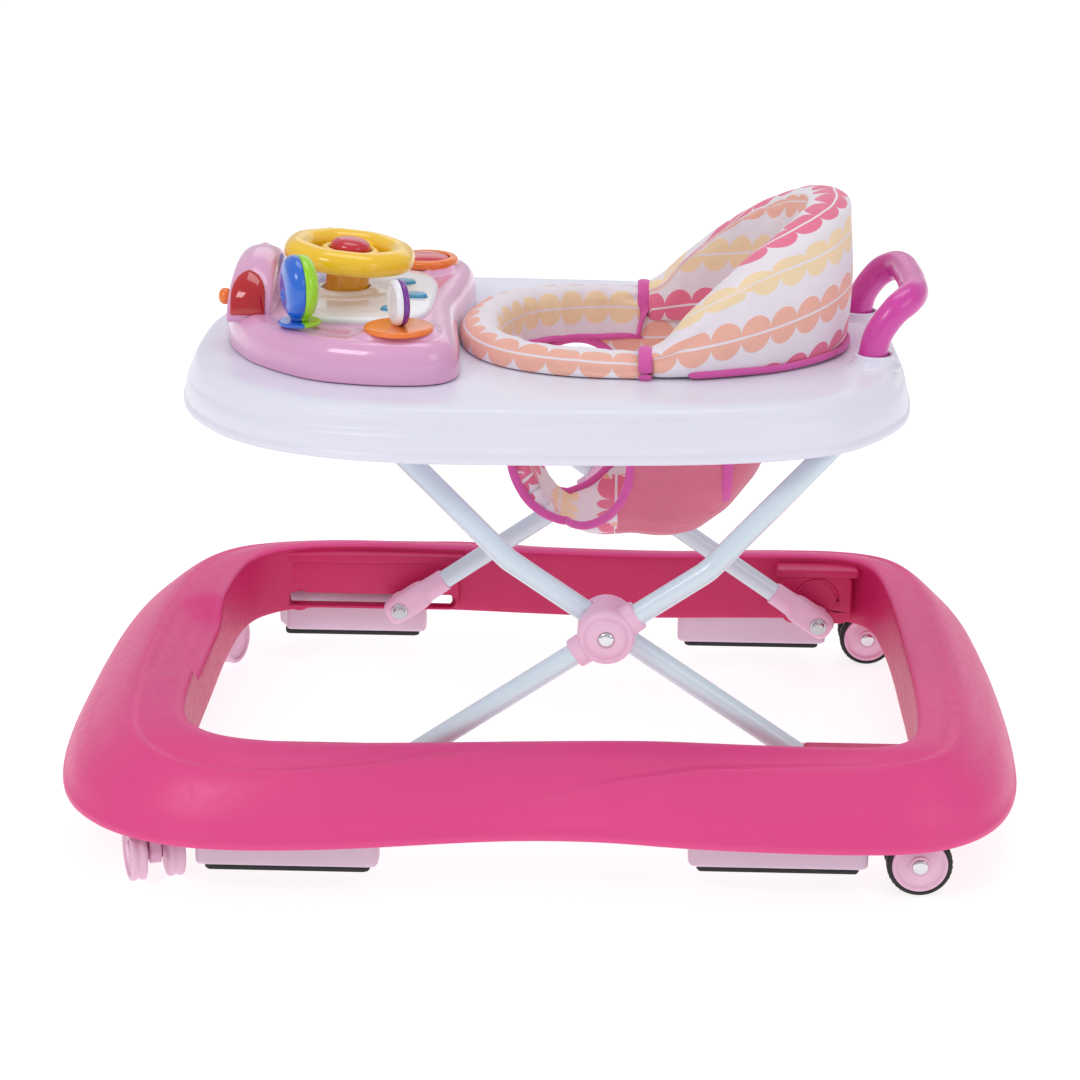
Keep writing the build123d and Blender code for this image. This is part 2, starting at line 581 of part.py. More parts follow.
with BuildPart() as lens:
    for q in (1, -1):
        with BuildSketch(Plane.YZ.offset(-232.5)):
            with Locations((0, 366)):
                Ellipse(HUMP[2] + 2.2, HUMP[3] + 2.2)
                Ellipse(HUMP[2] + 0.1, HUMP[3] + 0.1, mode=Mode.SUBTRACT)
            with Locations((-q * 60, 366)):
                Rectangle(180, 200, mode=Mode.SUBTRACT)
            with Locations((0, 340)):
                Rectangle(200, 65, mode=Mode.SUBTRACT)
        extrude(amount=28)
save(lens, "lamp_lenses")

with BuildPart() as play_tray_panel:
    add(block(-189.6, -84.4, -83.6, 83.6, 362, 375.4, 29.6))
    add(block(-186.6, -87.4, -80.6, 80.6, 350, 372.8, 27), mode=Mode.SUBTRACT)
    add(post(COL_C[0], COL_C[1], 23, 372, 378.5))
    add(post(COL_C[0], COL_C[1], 17.6, 350, 390), mode=Mode.SUBTRACT)
    for x, y in KEYS:
        with BuildSketch(Plane.XY.offset(350)):
            with Locations((x, y)):
                Ellipse(9.2, 7.2)
        extrude(amount=40, mode=Mode.SUBTRACT)
save(play_tray_panel, "play_tray_panel")

for i, (x, y) in enumerate(KEYS):
    with BuildPart() as key_cap:
        with BuildSketch(Plane.XY.offset(370.5)):
            with Locations((x, y)):
                Ellipse(9.0, 7.0)
        extrude(amount=7.5)
        with BuildSketch(Plane.XY.offset(368.5)):
            with Locations((x, y)):
                Ellipse(10.4, 8.4)
        extrude(amount=2)
        fillet(key_cap.faces().sort_by(Axis.Z)[-1].edges(), 1.5)
    save(key_cap, "music_key_%d" % (i + 1))

with BuildPart() as play_tray_bottom:
    add(prism(inset(toys, 4.6), TZ0 + 0.3, TZ0 + 2.8))
    for x, y in ((-174, 62), (-174, -62), (-98, 62), (-98, -62)):
        add(post(x, y, 4, TZ0 + 2.5, 349))
save(play_tray_bottom, "play_tray_bottom")
with BuildPart() as circuit_board:
    add(block(-180, -92, -70, 70, 349, 350.6))
    for x, y in KEYS:
        add(post(x, y, 3.5, 350.6, 354))
save(circuit_board, "circuit_board")
with BuildPart() as batteries:
    for y in (-14, 14):
        with BuildSketch(Plane(origin=(-232, y, 354), z_dir=(1, 0, 0), x_dir=(0, 1, 0))):
            Circle(7)
        extrude(amount=40)
save(batteries, "batteries")

with BuildPart() as button_ring:
    add(post(BUTTON_C[0], BUTTON_C[1], 25, TZ1 + 3.5, TZ1 + 6))
    add(post(BUTTON_C[0], BUTTON_C[1], 18.4, 360, 390), mode=Mode.SUBTRACT)
save(button_ring, "button_ring")
with BuildPart() as round_button:
    add(post(BUTTON_C[0], BUTTON_C[1], 18, 366, 379))
    add(post(BUTTON_C[0], BUTTON_C[1], 20, 364, 369))
    fillet(round_button.faces().sort_by(Axis.Z)[-1].edges(), 3)
save(round_button, "round_button")

with BuildPart() as turntable:
    add(post(TURN_C[0], TURN_C[1], 25, TZ1 + 3.3, TZ1 + 6))
    add(post(TURN_C[0], TURN_C[1], 4, 358, TZ1 + 4))
save(turntable, "turntable")
# disc standing on edge on the turntable, in two halves
DISC_PL = Plane(origin=(TURN_C[0], TURN_C[1], 394.5), x_dir=(0, 0, 1), z_dir=(math.cos(math.radians(20)), math.sin(math.radians(20)), 0))
for q, name in ((1, "disc_purple"), (-1, "disc_white")):
    with BuildPart() as half:
        with BuildSketch(DISC_PL):
            Circle(16.5)
        with BuildSketch(DISC_PL.offset(q * 5)):
            Circle(13)
        loft()
        with BuildSketch(Plane.XY.offset(TZ1 + 6)):
            with Locations(TURN_C):
                Circle(60)
        extrude(amount=-20, mode=Mode.SUBTRACT)
    save(half, name)

# spinners: upright discs on a stem and foot, each in a blue and a green half
for q, side in ((1, "left"), (-1, "right")):
    cx, cy = SPIN_C[0], q * SPIN_C[1]
    spl = Plane(origin=(cx, cy, 401), x_dir=(0, 0, 1), z_dir=(math.cos(math.radians(20)), math.sin(math.radians(20)), 0))
    for w, colour in ((-1, "blue"), (1, "green")):
        with BuildPart() as spin:
            with BuildSketch(spl):
                Circle(22)
            with BuildSketch(spl.offset(w * 7)):
                Circle(20)
            with BuildSketch(spl.offset(w * 11)):
                Circle(12)
            loft()
            with BuildPart(mode=Mode.PRIVATE) as lower:
                add(post(cx, cy, 6.5, 374, 388))
                add(post(cx, cy, 15.5, TZ1 + 0.4, TZ1 + 3))
                add(post(cx, cy, 4, 360, TZ1 + 2))
                with BuildSketch(spl):
                    Rectangle(200, 200)
                extrude(amount=-w * 60, mode=Mode.SUBTRACT)
            add(lower.part)
            if w < 0:
                with BuildSketch(spl.offset(-6)):
                    with Locations((-6, 0)):
                        Circle(2.6)
                extrude(amount=-20, mode=Mode.SUBTRACT)
        save(spin, "spinner_%s_%s" % (colour, side))

# steering wheel on its tilted column
ct, stt = math.cos(math.radians(COL_TILT)), math.sin(math.radians(COL_TILT))
WH = 31.0                            # wheel mid-plane above the column's reference point
wheel_c = (COL_C[0] + WH * stt, 0.0, COL_C[2] + WH * ct)
wheel_plane = Plane(origin=wheel_c, x_dir=(ct, 0, -stt), z_dir=(stt, 0, ct))
with BuildPart() as steering_wheel:
    with BuildSketch(Plane(origin=wheel_c, x_dir=(ct, 0, -stt), z_dir=(0, -1, 0))):
        with Locations((40.5, 0)):
            Ellipse(9, 9)
    revolve(axis=Axis(wheel_c, (stt, 0, ct)))
    with BuildSketch(wheel_plane.offset(-7)):
        Circle(22)
        Rectangle(40, 78)
    extrude(amount=11)
    with BuildSketch(wheel_plane.offset(-WH - 13)):
        Circle(16.5)
    extrude(amount=WH + 6)
    with BuildSketch(wheel_plane.offset(-2)):
        Circle(15.4)
    extrude(amount=20, mode=Mode.SUBTRACT)
save(steering_wheel, "steering_wheel")
with BuildPart() as horn_button:
    with BuildSketch(wheel_plane.offset(1.2)):
        Circle(15)
    extrude(amount=9)
    fillet(horn_button.faces().sort_by(Axis.Z)[-1].edges(), 4)
save(horn_button, "horn_button")
with BuildPart() as gear_knob:
    with BuildSketch(Plane.YZ.offset(-245)):
        with Locations(KNOB):
            Circle(6.2)
    extrude(amount=8.7)
    with BuildSketch(Plane.YZ.offset(-240)):
        with Locations(KNOB):
            Circle(3)
    extrude(amount=14)
    fillet(gear_knob.faces().sort_by(Axis.X)[0].edges(), 3)
save(gear_knob, "front_knob")
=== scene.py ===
import math
import bpy
import bmesh
import numpy as np
from mathutils import Matrix, Vector


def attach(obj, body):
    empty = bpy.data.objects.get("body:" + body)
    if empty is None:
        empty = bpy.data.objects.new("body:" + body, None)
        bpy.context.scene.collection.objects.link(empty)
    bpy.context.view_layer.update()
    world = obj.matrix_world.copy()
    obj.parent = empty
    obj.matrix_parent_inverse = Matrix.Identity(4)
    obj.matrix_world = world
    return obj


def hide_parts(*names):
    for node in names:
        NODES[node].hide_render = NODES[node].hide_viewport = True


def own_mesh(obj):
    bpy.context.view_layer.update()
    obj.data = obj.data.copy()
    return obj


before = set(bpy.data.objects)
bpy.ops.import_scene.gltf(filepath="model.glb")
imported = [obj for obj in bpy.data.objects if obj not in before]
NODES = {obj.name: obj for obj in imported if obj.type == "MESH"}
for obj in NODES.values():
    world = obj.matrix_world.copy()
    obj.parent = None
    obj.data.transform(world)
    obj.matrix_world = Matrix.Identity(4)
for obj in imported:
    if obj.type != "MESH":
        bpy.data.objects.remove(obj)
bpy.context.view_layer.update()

# ------------------------------------------------------------------ outlines shared with the CAD, metres
RIM = [(-360, 0), (-359, 80), (-353, 150), (-341, 200), (-322, 233), (-290, 262), (-238, 281),
       (-161, 281), (-37, 266), (47, 263), (117, 268), (230, 270), (288, 260), (328, 225),
       (350, 168), (358, 90), (360, 0)]
CREST = [(-264, 0), (-264, 80), (-261, 140), (-254, 178), (-238, 200), (-214, 213), (-166, 219),
         (-96, 216), (3, 208), (81, 204), (153, 208), (224, 210), (258, 203), (273, 180),
         (279, 125), (281, 60), (281, 0)]
TRAY = [(-272, 0), (-270, 50), (-256, 106), (-219, 163), (-165, 198), (-95, 214), (0, 214),
        (112, 206), (182, 189), (225, 162), (261, 104), (271, 52), (273, 0)]
TOYS = [(-245, 0), (-242, 30), (-231, 65), (-211, 101), (-172, 139), (-135, 153), (-100, 156),
        (-74, 150), (-61, 131), (-60, 100), (-63, 60), (-66, 25), (-67, 0)]


def dense_loop(pts):
    full = pts + [(x, -y) for x, y in reversed(pts[1:-1])]
    m = len(full)
    out = []
    for i in range(m):
        p0, p1, p2, p3 = [np.array(full[(i + k) % m], float) for k in (-1, 0, 1, 2)]
        for k in range(16):
            t = k / 16
            out.append(0.5 * (2 * p1 + (p2 - p0) * t + (2 * p0 - 5 * p1 + 4 * p2 - p3) * t * t
                              + (3 * p1 - p0 - 3 * p2 + p3) * t ** 3))
    return np.array(out)


def polar(pts, angles, centre=(0.0, 0.0)):
    d = dense_loop(pts) - np.array(centre)
    e = np.roll(d, -1, axis=0)
    out = []
    for a in angles:
        ca, sa = math.cos(a), math.sin(a)
        c1 = ca * d[:, 1] - sa * d[:, 0]
        c2 = ca * e[:, 1] - sa * e[:, 0]
        hit = (c1 * c2 <= 0) & (c1 != c2)
        f = c1[hit] / (c1[hit] - c2[hit])
        p = d[hit] + f[:, None] * (e[hit] - d[hit])
        r = (p[:, 0] * ca + p[:, 1] * sa).max()
        out.append((centre[0] + r * ca, centre[1] + r * sa))
    return np.array(out) / 1000.0


def smooth_loop(p, rounds=2):
    for _ in range(rounds):
        p = 0.5 * p + 0.25 * (np.roll(p, 1, axis=0) + np.roll(p, -1, axis=0))
    return p


def inset(p, d):
    t = np.roll(p, -1, axis=0) - np.roll(p, 1, axis=0)
    t /= np.linalg.norm(t, axis=1)[:, None]
    d = np.asarray(d)
    n = np.stack([-t[:, 1], t[:, 0]], 1)
    return p + n * (d[:, None] if d.ndim else d)


def smoothstep(a, b, x):
    t = np.clip((np.asarray(x, float) - a) / (b - a), 0, 1)
    return t * t * (3 - 2 * t)


# ------------------------------------------------------------------ mesh helpers
def new_object(name, verts, faces, uvs=None):
    me = bpy.data.meshes.new(name)
    me.from_pydata([tuple(map(float, v)) for v in verts], [], faces)
    if uvs is not None:
        layer = me.uv_layers.new(name="UVMap")
        for poly in me.polygons:
            for li, uv in zip(poly.loop_indices, uvs[poly.index]):
                layer.data[li].uv = uv
    me.validate()
    ob = bpy.data.objects.new(name, me)
    bpy.context.scene.collection.objects.link(ob)
    for p in me.polygons:
        p.use_smooth = True
    return ob


def grid(name, V, close_i=True, close_j=True, uv=None, flip=False):
    """V is (ni, nj, 3). uv is (ni+1, nj+1, 2) when closed."""
    ni, nj = V.shape[:2]
    faces, uvs = [], []
    for i in range(ni if close_i else ni - 1):
        for j in range(nj if close_j else nj - 1):
            i2, j2 = (i + 1) % ni, (j + 1) % nj
            f = [i * nj + j, i2 * nj + j, i2 * nj + j2, i * nj + j2]
            w = None
            if uv is not None:
                w = [tuple(uv[i, j]), tuple(uv[i + 1, j]), tuple(uv[i + 1, j + 1]), tuple(uv[i, j + 1])]
            if flip:
                f.reverse()
                if w:
                    w.reverse()
            faces.append(f)
            uvs.append(w)
    return new_object(name, V.reshape(-1, 3), faces, uvs if uv is not None else None)


def fix_normals(ob):
    bm = bmesh.new()
    bm.from_mesh(ob.data)
    bmesh.ops.remove_doubles(bm, verts=bm.verts, dist=1e-6)
    bmesh.ops.recalc_face_normals(bm, faces=bm.faces)
    bm.to_mesh(ob.data)
    bm.free()
    return ob


def cap_ends(ob):
    bm = bmesh.new()
    bm.from_mesh(ob.data)
    edges = [e for e in bm.edges if len(e.link_faces) == 1]
    bmesh.ops.holes_fill(bm, edges=edges, sides=0)
    bmesh.ops.recalc_face_normals(bm, faces=bm.faces)
    for f in bm.faces:
        f.smooth = True
    bm.to_mesh(ob.data)
    bm.free()
    return ob


def subsurf(ob, levels=1):
    m = ob.modifiers.new("sub", "SUBSURF")
    m.levels = m.render_levels = levels
    return ob


def apply_mods(ob):
    deps = bpy.context.evaluated_depsgraph_get()
    me = bpy.data.meshes.new_from_object(ob.evaluated_get(deps))
    old = ob.data
    ob.modifiers.clear()
    ob.data = me
    me.name = ob.name
    for p in me.polygons:
        p.use_smooth = True
    return ob


def moulded(nodes, name, body, voxel=0.0012, rounds=4, mat=None):
    """A copy of CAD nodes with the soft edges of a moulding, standing for them."""
    nodes = [nodes] if isinstance(nodes, str) else nodes
    bm = bmesh.new()
    for n in nodes:
        bm.from_mesh(NODES[n].data)
    me = bpy.data.meshes.new(name)
    bmesh.ops.remove_doubles(bm, verts=bm.verts, dist=1e-6)
    bm.to_mesh(me)
    bm.free()
    ob = bpy.data.objects.new(name, me)
    bpy.context.scene.collection.objects.link(ob)
    m = ob.modifiers.new("re", "REMESH")
    m.mode = "VOXEL"
    m.voxel_size = voxel
    m.use_smooth_shade = True
    s = ob.modifiers.new("sm", "SMOOTH")
    s.factor = 0.5
    s.iterations = rounds
    apply_mods(ob)
    ob.data.materials.clear()
    if mat:
        ob.data.materials.append(mat)
    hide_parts(*nodes)
    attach(ob, body)
    return ob


def finish_piece(ob, body, mat, slot, *replaced):
    ob.data.materials.clear()
    ob.data.materials.append(mat)
    if replaced:
        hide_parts(*replaced)
    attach(ob, body)
    return ob


def catmull(points, per=10, closed=False):
    P = [np.array(p, float) for p in points]
    n = len(P)
    out = []
    rng = range(n) if closed else range(n - 1)
    for i in rng:
        p1, p2 = P[i], P[(i + 1) % n]
        p0 = P[(i - 1) % n] if closed or i > 0 else 2 * p1 - p2
        p3 = P[(i + 2) % n] if closed or i + 2 < n else 2 * p2 - p1
        for k in range(per):
            t = k / per
            out.append(0.5 * (2 * p1 + (p2 - p0) * t + (2 * p0 - 5 * p1 + 4 * p2 - p3) * t * t
                              + (3 * p1 - p0 - 3 * p2 + p3) * t ** 3))
    if not closed:
        out.append(P[-1])
    return np.array(out)


def tube(name, path, ra, rb=None, ref=(0, 0, 1), sides=24, closed=False, caps=True, scale=None):
    """Sweep of an ellipse (ra across, rb along the reference direction) along the points."""
    path = np.asarray(path, float)
    rb = ra if rb is None else rb
    n = len(path)
    ref = np.array(ref, float)
    rows = []
    for i in range(n):
        if closed:
            t = path[(i + 1) % n] - path[i - 1]
        else:
            t = path[min(i + 1, n - 1)] - path[max(i - 1, 0)]
        t /= np.linalg.norm(t)
        a = np.cross(t, ref)
        if np.linalg.norm(a) < 1e-4:
            a = np.cross(t, (1, 0.01, 0))
        a /= np.linalg.norm(a)
        b = np.cross(a, t)
        k = 1.0 if scale is None else scale[i]
        rows.append([path[i] + k * (ra * math.cos(q) * a + rb * math.sin(q) * b)
                     for q in [2 * math.pi * j / sides for j in range(sides)]])
    ob = grid(name, np.array(rows), close_i=closed, close_j=True)
    if not closed and caps:
        cap_ends(ob)
    else:
        fix_normals(ob)
    return ob


def lathe(name, profile, origin, axis, sides=48, x_dir=None):
    """Turned shape: profile is (radius, height) from one end to the other on the axis."""
    axis = np.array(axis, float)
    axis /= np.linalg.norm(axis)
    x = np.array(x_dir if x_dir is not None else ((1, 0, 0) if abs(axis[0]) < 0.8 else (0, 0, 1)), float)
    x -= axis * x.dot(axis)
    x /= np.linalg.norm(x)
    y = np.cross(axis, x)
    o = np.array(origin, float)
    rows = [[o + axis * h + r * (math.cos(q) * x + math.sin(q) * y)
             for q in [2 * math.pi * j / sides for j in range(sides)]] for r, h in profile]
    ob = grid(name, np.array(rows), close_i=False, close_j=True)
    return cap_ends(fix_normals(ob))


def turned(points, per=5):
    """Smoothed lathe profile."""
    p = catmull([(r, h) for r, h in points], per)
    p[:, 0] = np.maximum(p[:, 0], 0.00005)
    return p


# ------------------------------------------------------------------ materials
def srgb(r, g, b):
    def f(c):
        c = c / 255.0
        return c / 12.92 if c <= 0.04045 else ((c + 0.055) / 1.055) ** 2.4
    return (f(r), f(g), f(b), 1.0)


def link(nt, a, b):
    nt.links.new(a, b)


def plastic(name, color, rough=0.32, grain=0.02, grain_scale=900, vary=0.03, coat=0.0, transmission=0.0, wear=0.06, sheen_scale=14):
    m = bpy.data.materials.new(name)
    m.use_nodes = True
    nt = m.node_tree
    b = nt.nodes["Principled BSDF"]
    tc = nt.nodes.new("ShaderNodeTexCoord")
    n1 = nt.nodes.new("ShaderNodeTexNoise")
    n1.inputs["Scale"].default_value = sheen_scale
    n1.inputs["Detail"].default_value = 3
    link(nt, tc.outputs["Object"], n1.inputs["Vector"])
    mix = nt.nodes.new("ShaderNodeMix")
    mix.data_type = "RGBA"
    dark = tuple(c * (1 - vary * 2.2) for c in color[:3]) + (1,)
    light = tuple(min(1, c * (1 + vary) + 0.004) for c in color[:3]) + (1,)
    mix.inputs[6].default_value = dark
    mix.inputs[7].default_value = light
    link(nt, n1.outputs["Fac"], mix.inputs[0])
    link(nt, mix.outputs[2], b.inputs["Base Color"])
    # scuffs: fine streaks that break the gloss
    n2 = nt.nodes.new("ShaderNodeTexNoise")
    n2.inputs["Scale"].default_value = 160
    n2.inputs["Detail"].default_value = 4
    link(nt, tc.outputs["Object"], n2.inputs["Vector"])
    mr = nt.nodes.new("ShaderNodeMapRange")
    mr.inputs["From Min"].default_value = 0.35
    mr.inputs["From Max"].default_value = 0.7
    mr.inputs["To Min"].default_value = max(0.03, rough - wear)
    mr.inputs["To Max"].default_value = rough + wear
    link(nt, n2.outputs["Fac"], mr.inputs["Value"])
    link(nt, mr.outputs["Result"], b.inputs["Roughness"])
    n3 = nt.nodes.new("ShaderNodeTexNoise")
    n3.inputs["Scale"].default_value = grain_scale
    n3.inputs["Detail"].default_value = 2
    link(nt, tc.outputs["Object"], n3.inputs["Vector"])
    bp = nt.nodes.new("ShaderNodeBump")
    bp.inputs["Strength"].default_value = grain
    bp.inputs["Distance"].default_value = 0.001
    link(nt, n3.outputs["Fac"], bp.inputs["Height"])
    link(nt, bp.outputs["Normal"], b.inputs["Normal"])
    b.inputs["Coat Weight"].default_value = coat
    b.inputs["Coat Roughness"].default_value = 0.08
    b.inputs["Transmission Weight"].default_value = transmission
    b.inputs["Subsurface Weight"].default_value = 0.0
    return m


def metal(name, color, rough=0.18, metallic=1.0, streak=0.0):
    m = plastic(name, color, rough=rough, grain=0.01, vary=0.02, wear=0.05)
    m.node_tree.nodes["Principled BSDF"].inputs["Metallic"].default_value = metallic
    return m


HOT = srgb(231, 66, 138)
M = {
    "base": plastic("base_pink_plastic", HOT, rough=0.42, grain=0.06, grain_scale=700, vary=0.03, wear=0.05),
    # inner: darker copy of the base pink, painted shade for the inward walls
    "inner": plastic("base_pink_painted_shade", srgb(204, 26, 96), rough=0.46, grain=0.06, grain_scale=700),
    "light": plastic("fitting_pink_plastic", srgb(238, 190, 217), rough=0.38, grain=0.03),
    "block": plastic("block_lilac_plastic", srgb(228, 202, 222), rough=0.42, grain=0.04),
    "tray": plastic("tray_white_plastic", srgb(231, 230, 244), rough=0.34, grain=0.03, vary=0.012),
    "toy": plastic("toy_pink_plastic", srgb(228, 168, 207), rough=0.18, grain=0.01, coat=0.4, vary=0.02),
    "white": plastic("toy_white_plastic", srgb(240, 238, 244), rough=0.2, grain=0.01, coat=0.4, vary=0.01),
    "yellow": plastic("yellow_plastic", srgb(255, 204, 36), rough=0.22, grain=0.012, coat=0.4),
    # amber: darker copy of the wheel's yellow, painted shade for the column under the wheel
    "yellow_painted_shade": plastic("yellow_painted_shade_plastic", srgb(246, 176, 40), rough=0.26, grain=0.012, coat=0.3),
    "red": plastic("red_plastic", srgb(206, 30, 58), rough=0.2, grain=0.01, coat=0.5),
    "lens": plastic("red_lens", srgb(214, 8, 30), rough=0.12, grain=0.008, coat=0.6, transmission=0.25),
    "orange": plastic("orange_plastic", srgb(246, 126, 44), rough=0.25, grain=0.012, coat=0.3),
    "blue": plastic("blue_plastic", srgb(30, 104, 214), rough=0.2, grain=0.01, coat=0.5),
    "key": plastic("key_blue_plastic", srgb(70, 160, 206), rough=0.25, grain=0.01, coat=0.3),
    "green": plastic("green_plastic", srgb(160, 222, 36), rough=0.22, grain=0.01, coat=0.4),
    "purple": plastic("purple_plastic", srgb(120, 38, 150), rough=0.2, grain=0.01, coat=0.5),
    "handle": plastic("handle_magenta_plastic", srgb(212, 66, 166), rough=0.26, grain=0.02, coat=0.2, vary=0.05),
    "rubber": plastic("black_rubber", (0.012, 0.012, 0.013, 1), rough=0.62, grain=0.15, grain_scale=500, vary=0.1),
    "dark": plastic("dark_plastic", (0.02, 0.02, 0.022, 1), rough=0.5),
    "board": plastic("circuit_green", srgb(30, 90, 50), rough=0.45),
    "leg": plastic("leg_enamel", srgb(214, 228, 238), rough=0.24, grain=0.05, grain_scale=420, coat=0.5, vary=0.015),
    "chrome": metal("chrome", (0.72, 0.72, 0.74, 1), rough=0.14),
    "steel": metal("zinc_steel", (0.55, 0.56, 0.58, 1), rough=0.28),
}

def fabric(name, base_col, pattern=None, pitch=0.0395, lobe=0.0222, sheen=0.35, offset=(0.0, 0.0), crinkle=0.35):
    """Woven cotton with UVs in metres; the pattern prints rows of round lobes on either side of a white stem."""
    m = bpy.data.materials.new(name)
    m.use_nodes = True
    nt = m.node_tree
    b = nt.nodes["Principled BSDF"]
    b.inputs["Roughness"].default_value = 0.86
    b.inputs["Sheen Weight"].default_value = sheen
    b.inputs["Sheen Roughness"].default_value = 0.4
    b.inputs["Specular IOR Level"].default_value = 0.25
    uvn = nt.nodes.new("ShaderNodeUVMap")
    uvn.uv_map = "UVMap"
    sep = nt.nodes.new("ShaderNodeSeparateXYZ")
    link(nt, uvn.outputs["UV"], sep.inputs["Vector"])

    def math_node(op, a, c=None, clamp=False):
        n = nt.nodes.new("ShaderNodeMath")
        n.operation = op
        n.use_clamp = clamp
        for i, v in enumerate((a, c)):
            if v is None:
                continue
            if isinstance(v, (int, float)):
                n.inputs[i].default_value = v
            else:
                link(nt, v, n.inputs[i])
        return n.outputs["Value"]
    tc = nt.nodes.new("ShaderNodeTexCoord")
    soft = nt.nodes.new("ShaderNodeTexNoise")
    soft.inputs["Scale"].default_value = 18
    soft.inputs["Detail"].default_value = 4
    link(nt, tc.outputs["Object"], soft.inputs["Vector"])
    col = None
    if pattern:
        u = math_node("ADD", sep.outputs["X"], offset[0])
        v = math_node("ADD", sep.outputs["Y"], offset[1])
        vr = math_node("DIVIDE", v, pitch)
        k = math_node("FLOOR", vr)
        vl = math_node("ABSOLUTE", math_node("MULTIPLY", math_node("SUBTRACT", math_node("FRACT", vr), 0.5), pitch))
        us = math_node("ADD", math_node("DIVIDE", u, lobe), math_node("MULTIPLY", k, 0.37))
        ul = math_node("MULTIPLY", math_node("SUBTRACT", math_node("FRACT", us), 0.5), lobe)
        rad = lobe / 2
        arc = math_node("SQRT", math_node("MAXIMUM", math_node("SUBTRACT", rad * rad, math_node("MULTIPLY", ul, ul)), 0.0))
        h = math_node("ADD", arc, 0.0022)
        inside = math_node("LESS_THAN", vl, h)
        stem = math_node("GREATER_THAN", vl, 0.0009)
        mask = math_node("MULTIPLY", inside, stem)
        km = math_node("DIVIDE", math_node("ADD", math_node("FLOORED_MODULO", k, 3.0), 0.5), 3.0)
        ramp = nt.nodes.new("ShaderNodeValToRGB")
        ramp.color_ramp.interpolation = "CONSTANT"
        ramp.color_ramp.elements[0].position = 0.0
        ramp.color_ramp.elements[0].color = pattern[0]
        ramp.color_ramp.elements[1].position = 0.333
        ramp.color_ramp.elements[1].color = pattern[1]
        e = ramp.color_ramp.elements.new(0.666)
        e.color = pattern[2]
        link(nt, km, ramp.inputs["Fac"])
        mx = nt.nodes.new("ShaderNodeMix")
        mx.data_type = "RGBA"
        mx.inputs[6].default_value = base_col
        link(nt, ramp.outputs["Color"], mx.inputs[7])
        link(nt, mask, mx.inputs[0])
        col = mx.outputs[2]
    tone = nt.nodes.new("ShaderNodeMix")
    tone.data_type = "RGBA"
    tone.blend_type = "MULTIPLY"
    tone.inputs[0].default_value = 1.0
    if col is None:
        tone.inputs[6].default_value = base_col
    else:
        link(nt, col, tone.inputs[6])
    tr = nt.nodes.new("ShaderNodeMapRange")
    tr.inputs["To Min"].default_value = 0.90
    tr.inputs["To Max"].default_value = 1.04
    link(nt, soft.outputs["Fac"], tr.inputs["Value"])
    link(nt, tr.outputs["Result"], tone.inputs[7])
    link(nt, tone.outputs[2], b.inputs["Base Color"])
    # weave: two crossing sets of fine threads, then soft crinkles
    threads = []
    for axis in ("X", "Y"):
        s = math_node("SINE", math_node("MULTIPLY", sep.outputs[axis], 2 * math.pi / 0.0007))
        threads.append(s)
    weave = math_node("MULTIPLY", threads[0], threads[1])
    cr = nt.nodes.new("ShaderNodeTexNoise")
    cr.inputs["Scale"].default_value = 60
    cr.inputs["Detail"].default_value = 5
    cr.inputs["Distortion"].default_value = 0.6
    link(nt, tc.outputs["Object"], cr.inputs["Vector"])
    b1 = nt.nodes.new("ShaderNodeBump")
    b1.inputs["Strength"].default_value = crinkle
    b1.inputs["Distance"].default_value = 0.004
    link(nt, cr.outputs["Fac"], b1.inputs["Height"])
    b2 = nt.nodes.new("ShaderNodeBump")
    b2.inputs["Strength"].default_value = 0.25
    b2.inputs["Distance"].default_value = 0.0002
    link(nt, weave, b2.inputs["Height"])
    link(nt, b1.outputs["Normal"], b2.inputs["Normal"])
    link(nt, b2.outputs["Normal"], b.inputs["Normal"])
    return m


SALMON, PEACH, ROSE = srgb(248, 188, 170), srgb(251, 224, 184), srgb(240, 126, 158)
PRINT = (SALMON, PEACH, ROSE)
F_WHITE = srgb(242, 234, 242)
M["print"] = fabric("printed_cotton", F_WHITE, PRINT)
M["lining"] = fabric("plain_cotton", srgb(222, 122, 146), crinkle=0.5)
M["binding"] = fabric("magenta_binding", srgb(224, 98, 176), sheen=0.4, crinkle=0.6)
M["stitch"] = fabric("stitch_thread", srgb(246, 236, 242), sheen=0.2)

# ================================================================== base ring
NA = 224
ANG = np.array([2 * math.pi * i / NA for i in range(NA)])
rim = smooth_loop(polar(RIM, ANG), 2)
crest = smooth_loop(polar(CREST, ANG), 2)


def swoosh(x, y):
    """Where the moulded crease lies on the outer slope (0 crest, 1 rim) and how strong it is."""
    front = np.interp(x, [-0.36, -0.33, -0.27, -0.20, -0.13, -0.06, 0.0], [0.36, 0.40, 0.50, 0.50, 0.42, 0.26, 0.10])
    fs = smoothstep(0.0, -0.10, x)
    rear = np.interp(x, [-0.06, 0.0, 0.06, 0.13, 0.20, 0.27, 0.33, 0.36], [1.0, 0.88, 0.66, 0.47, 0.40, 0.36, 0.34, 0.32])
    rs = smoothstep(-0.05, 0.05, x)
    return front, fs, rear, rs


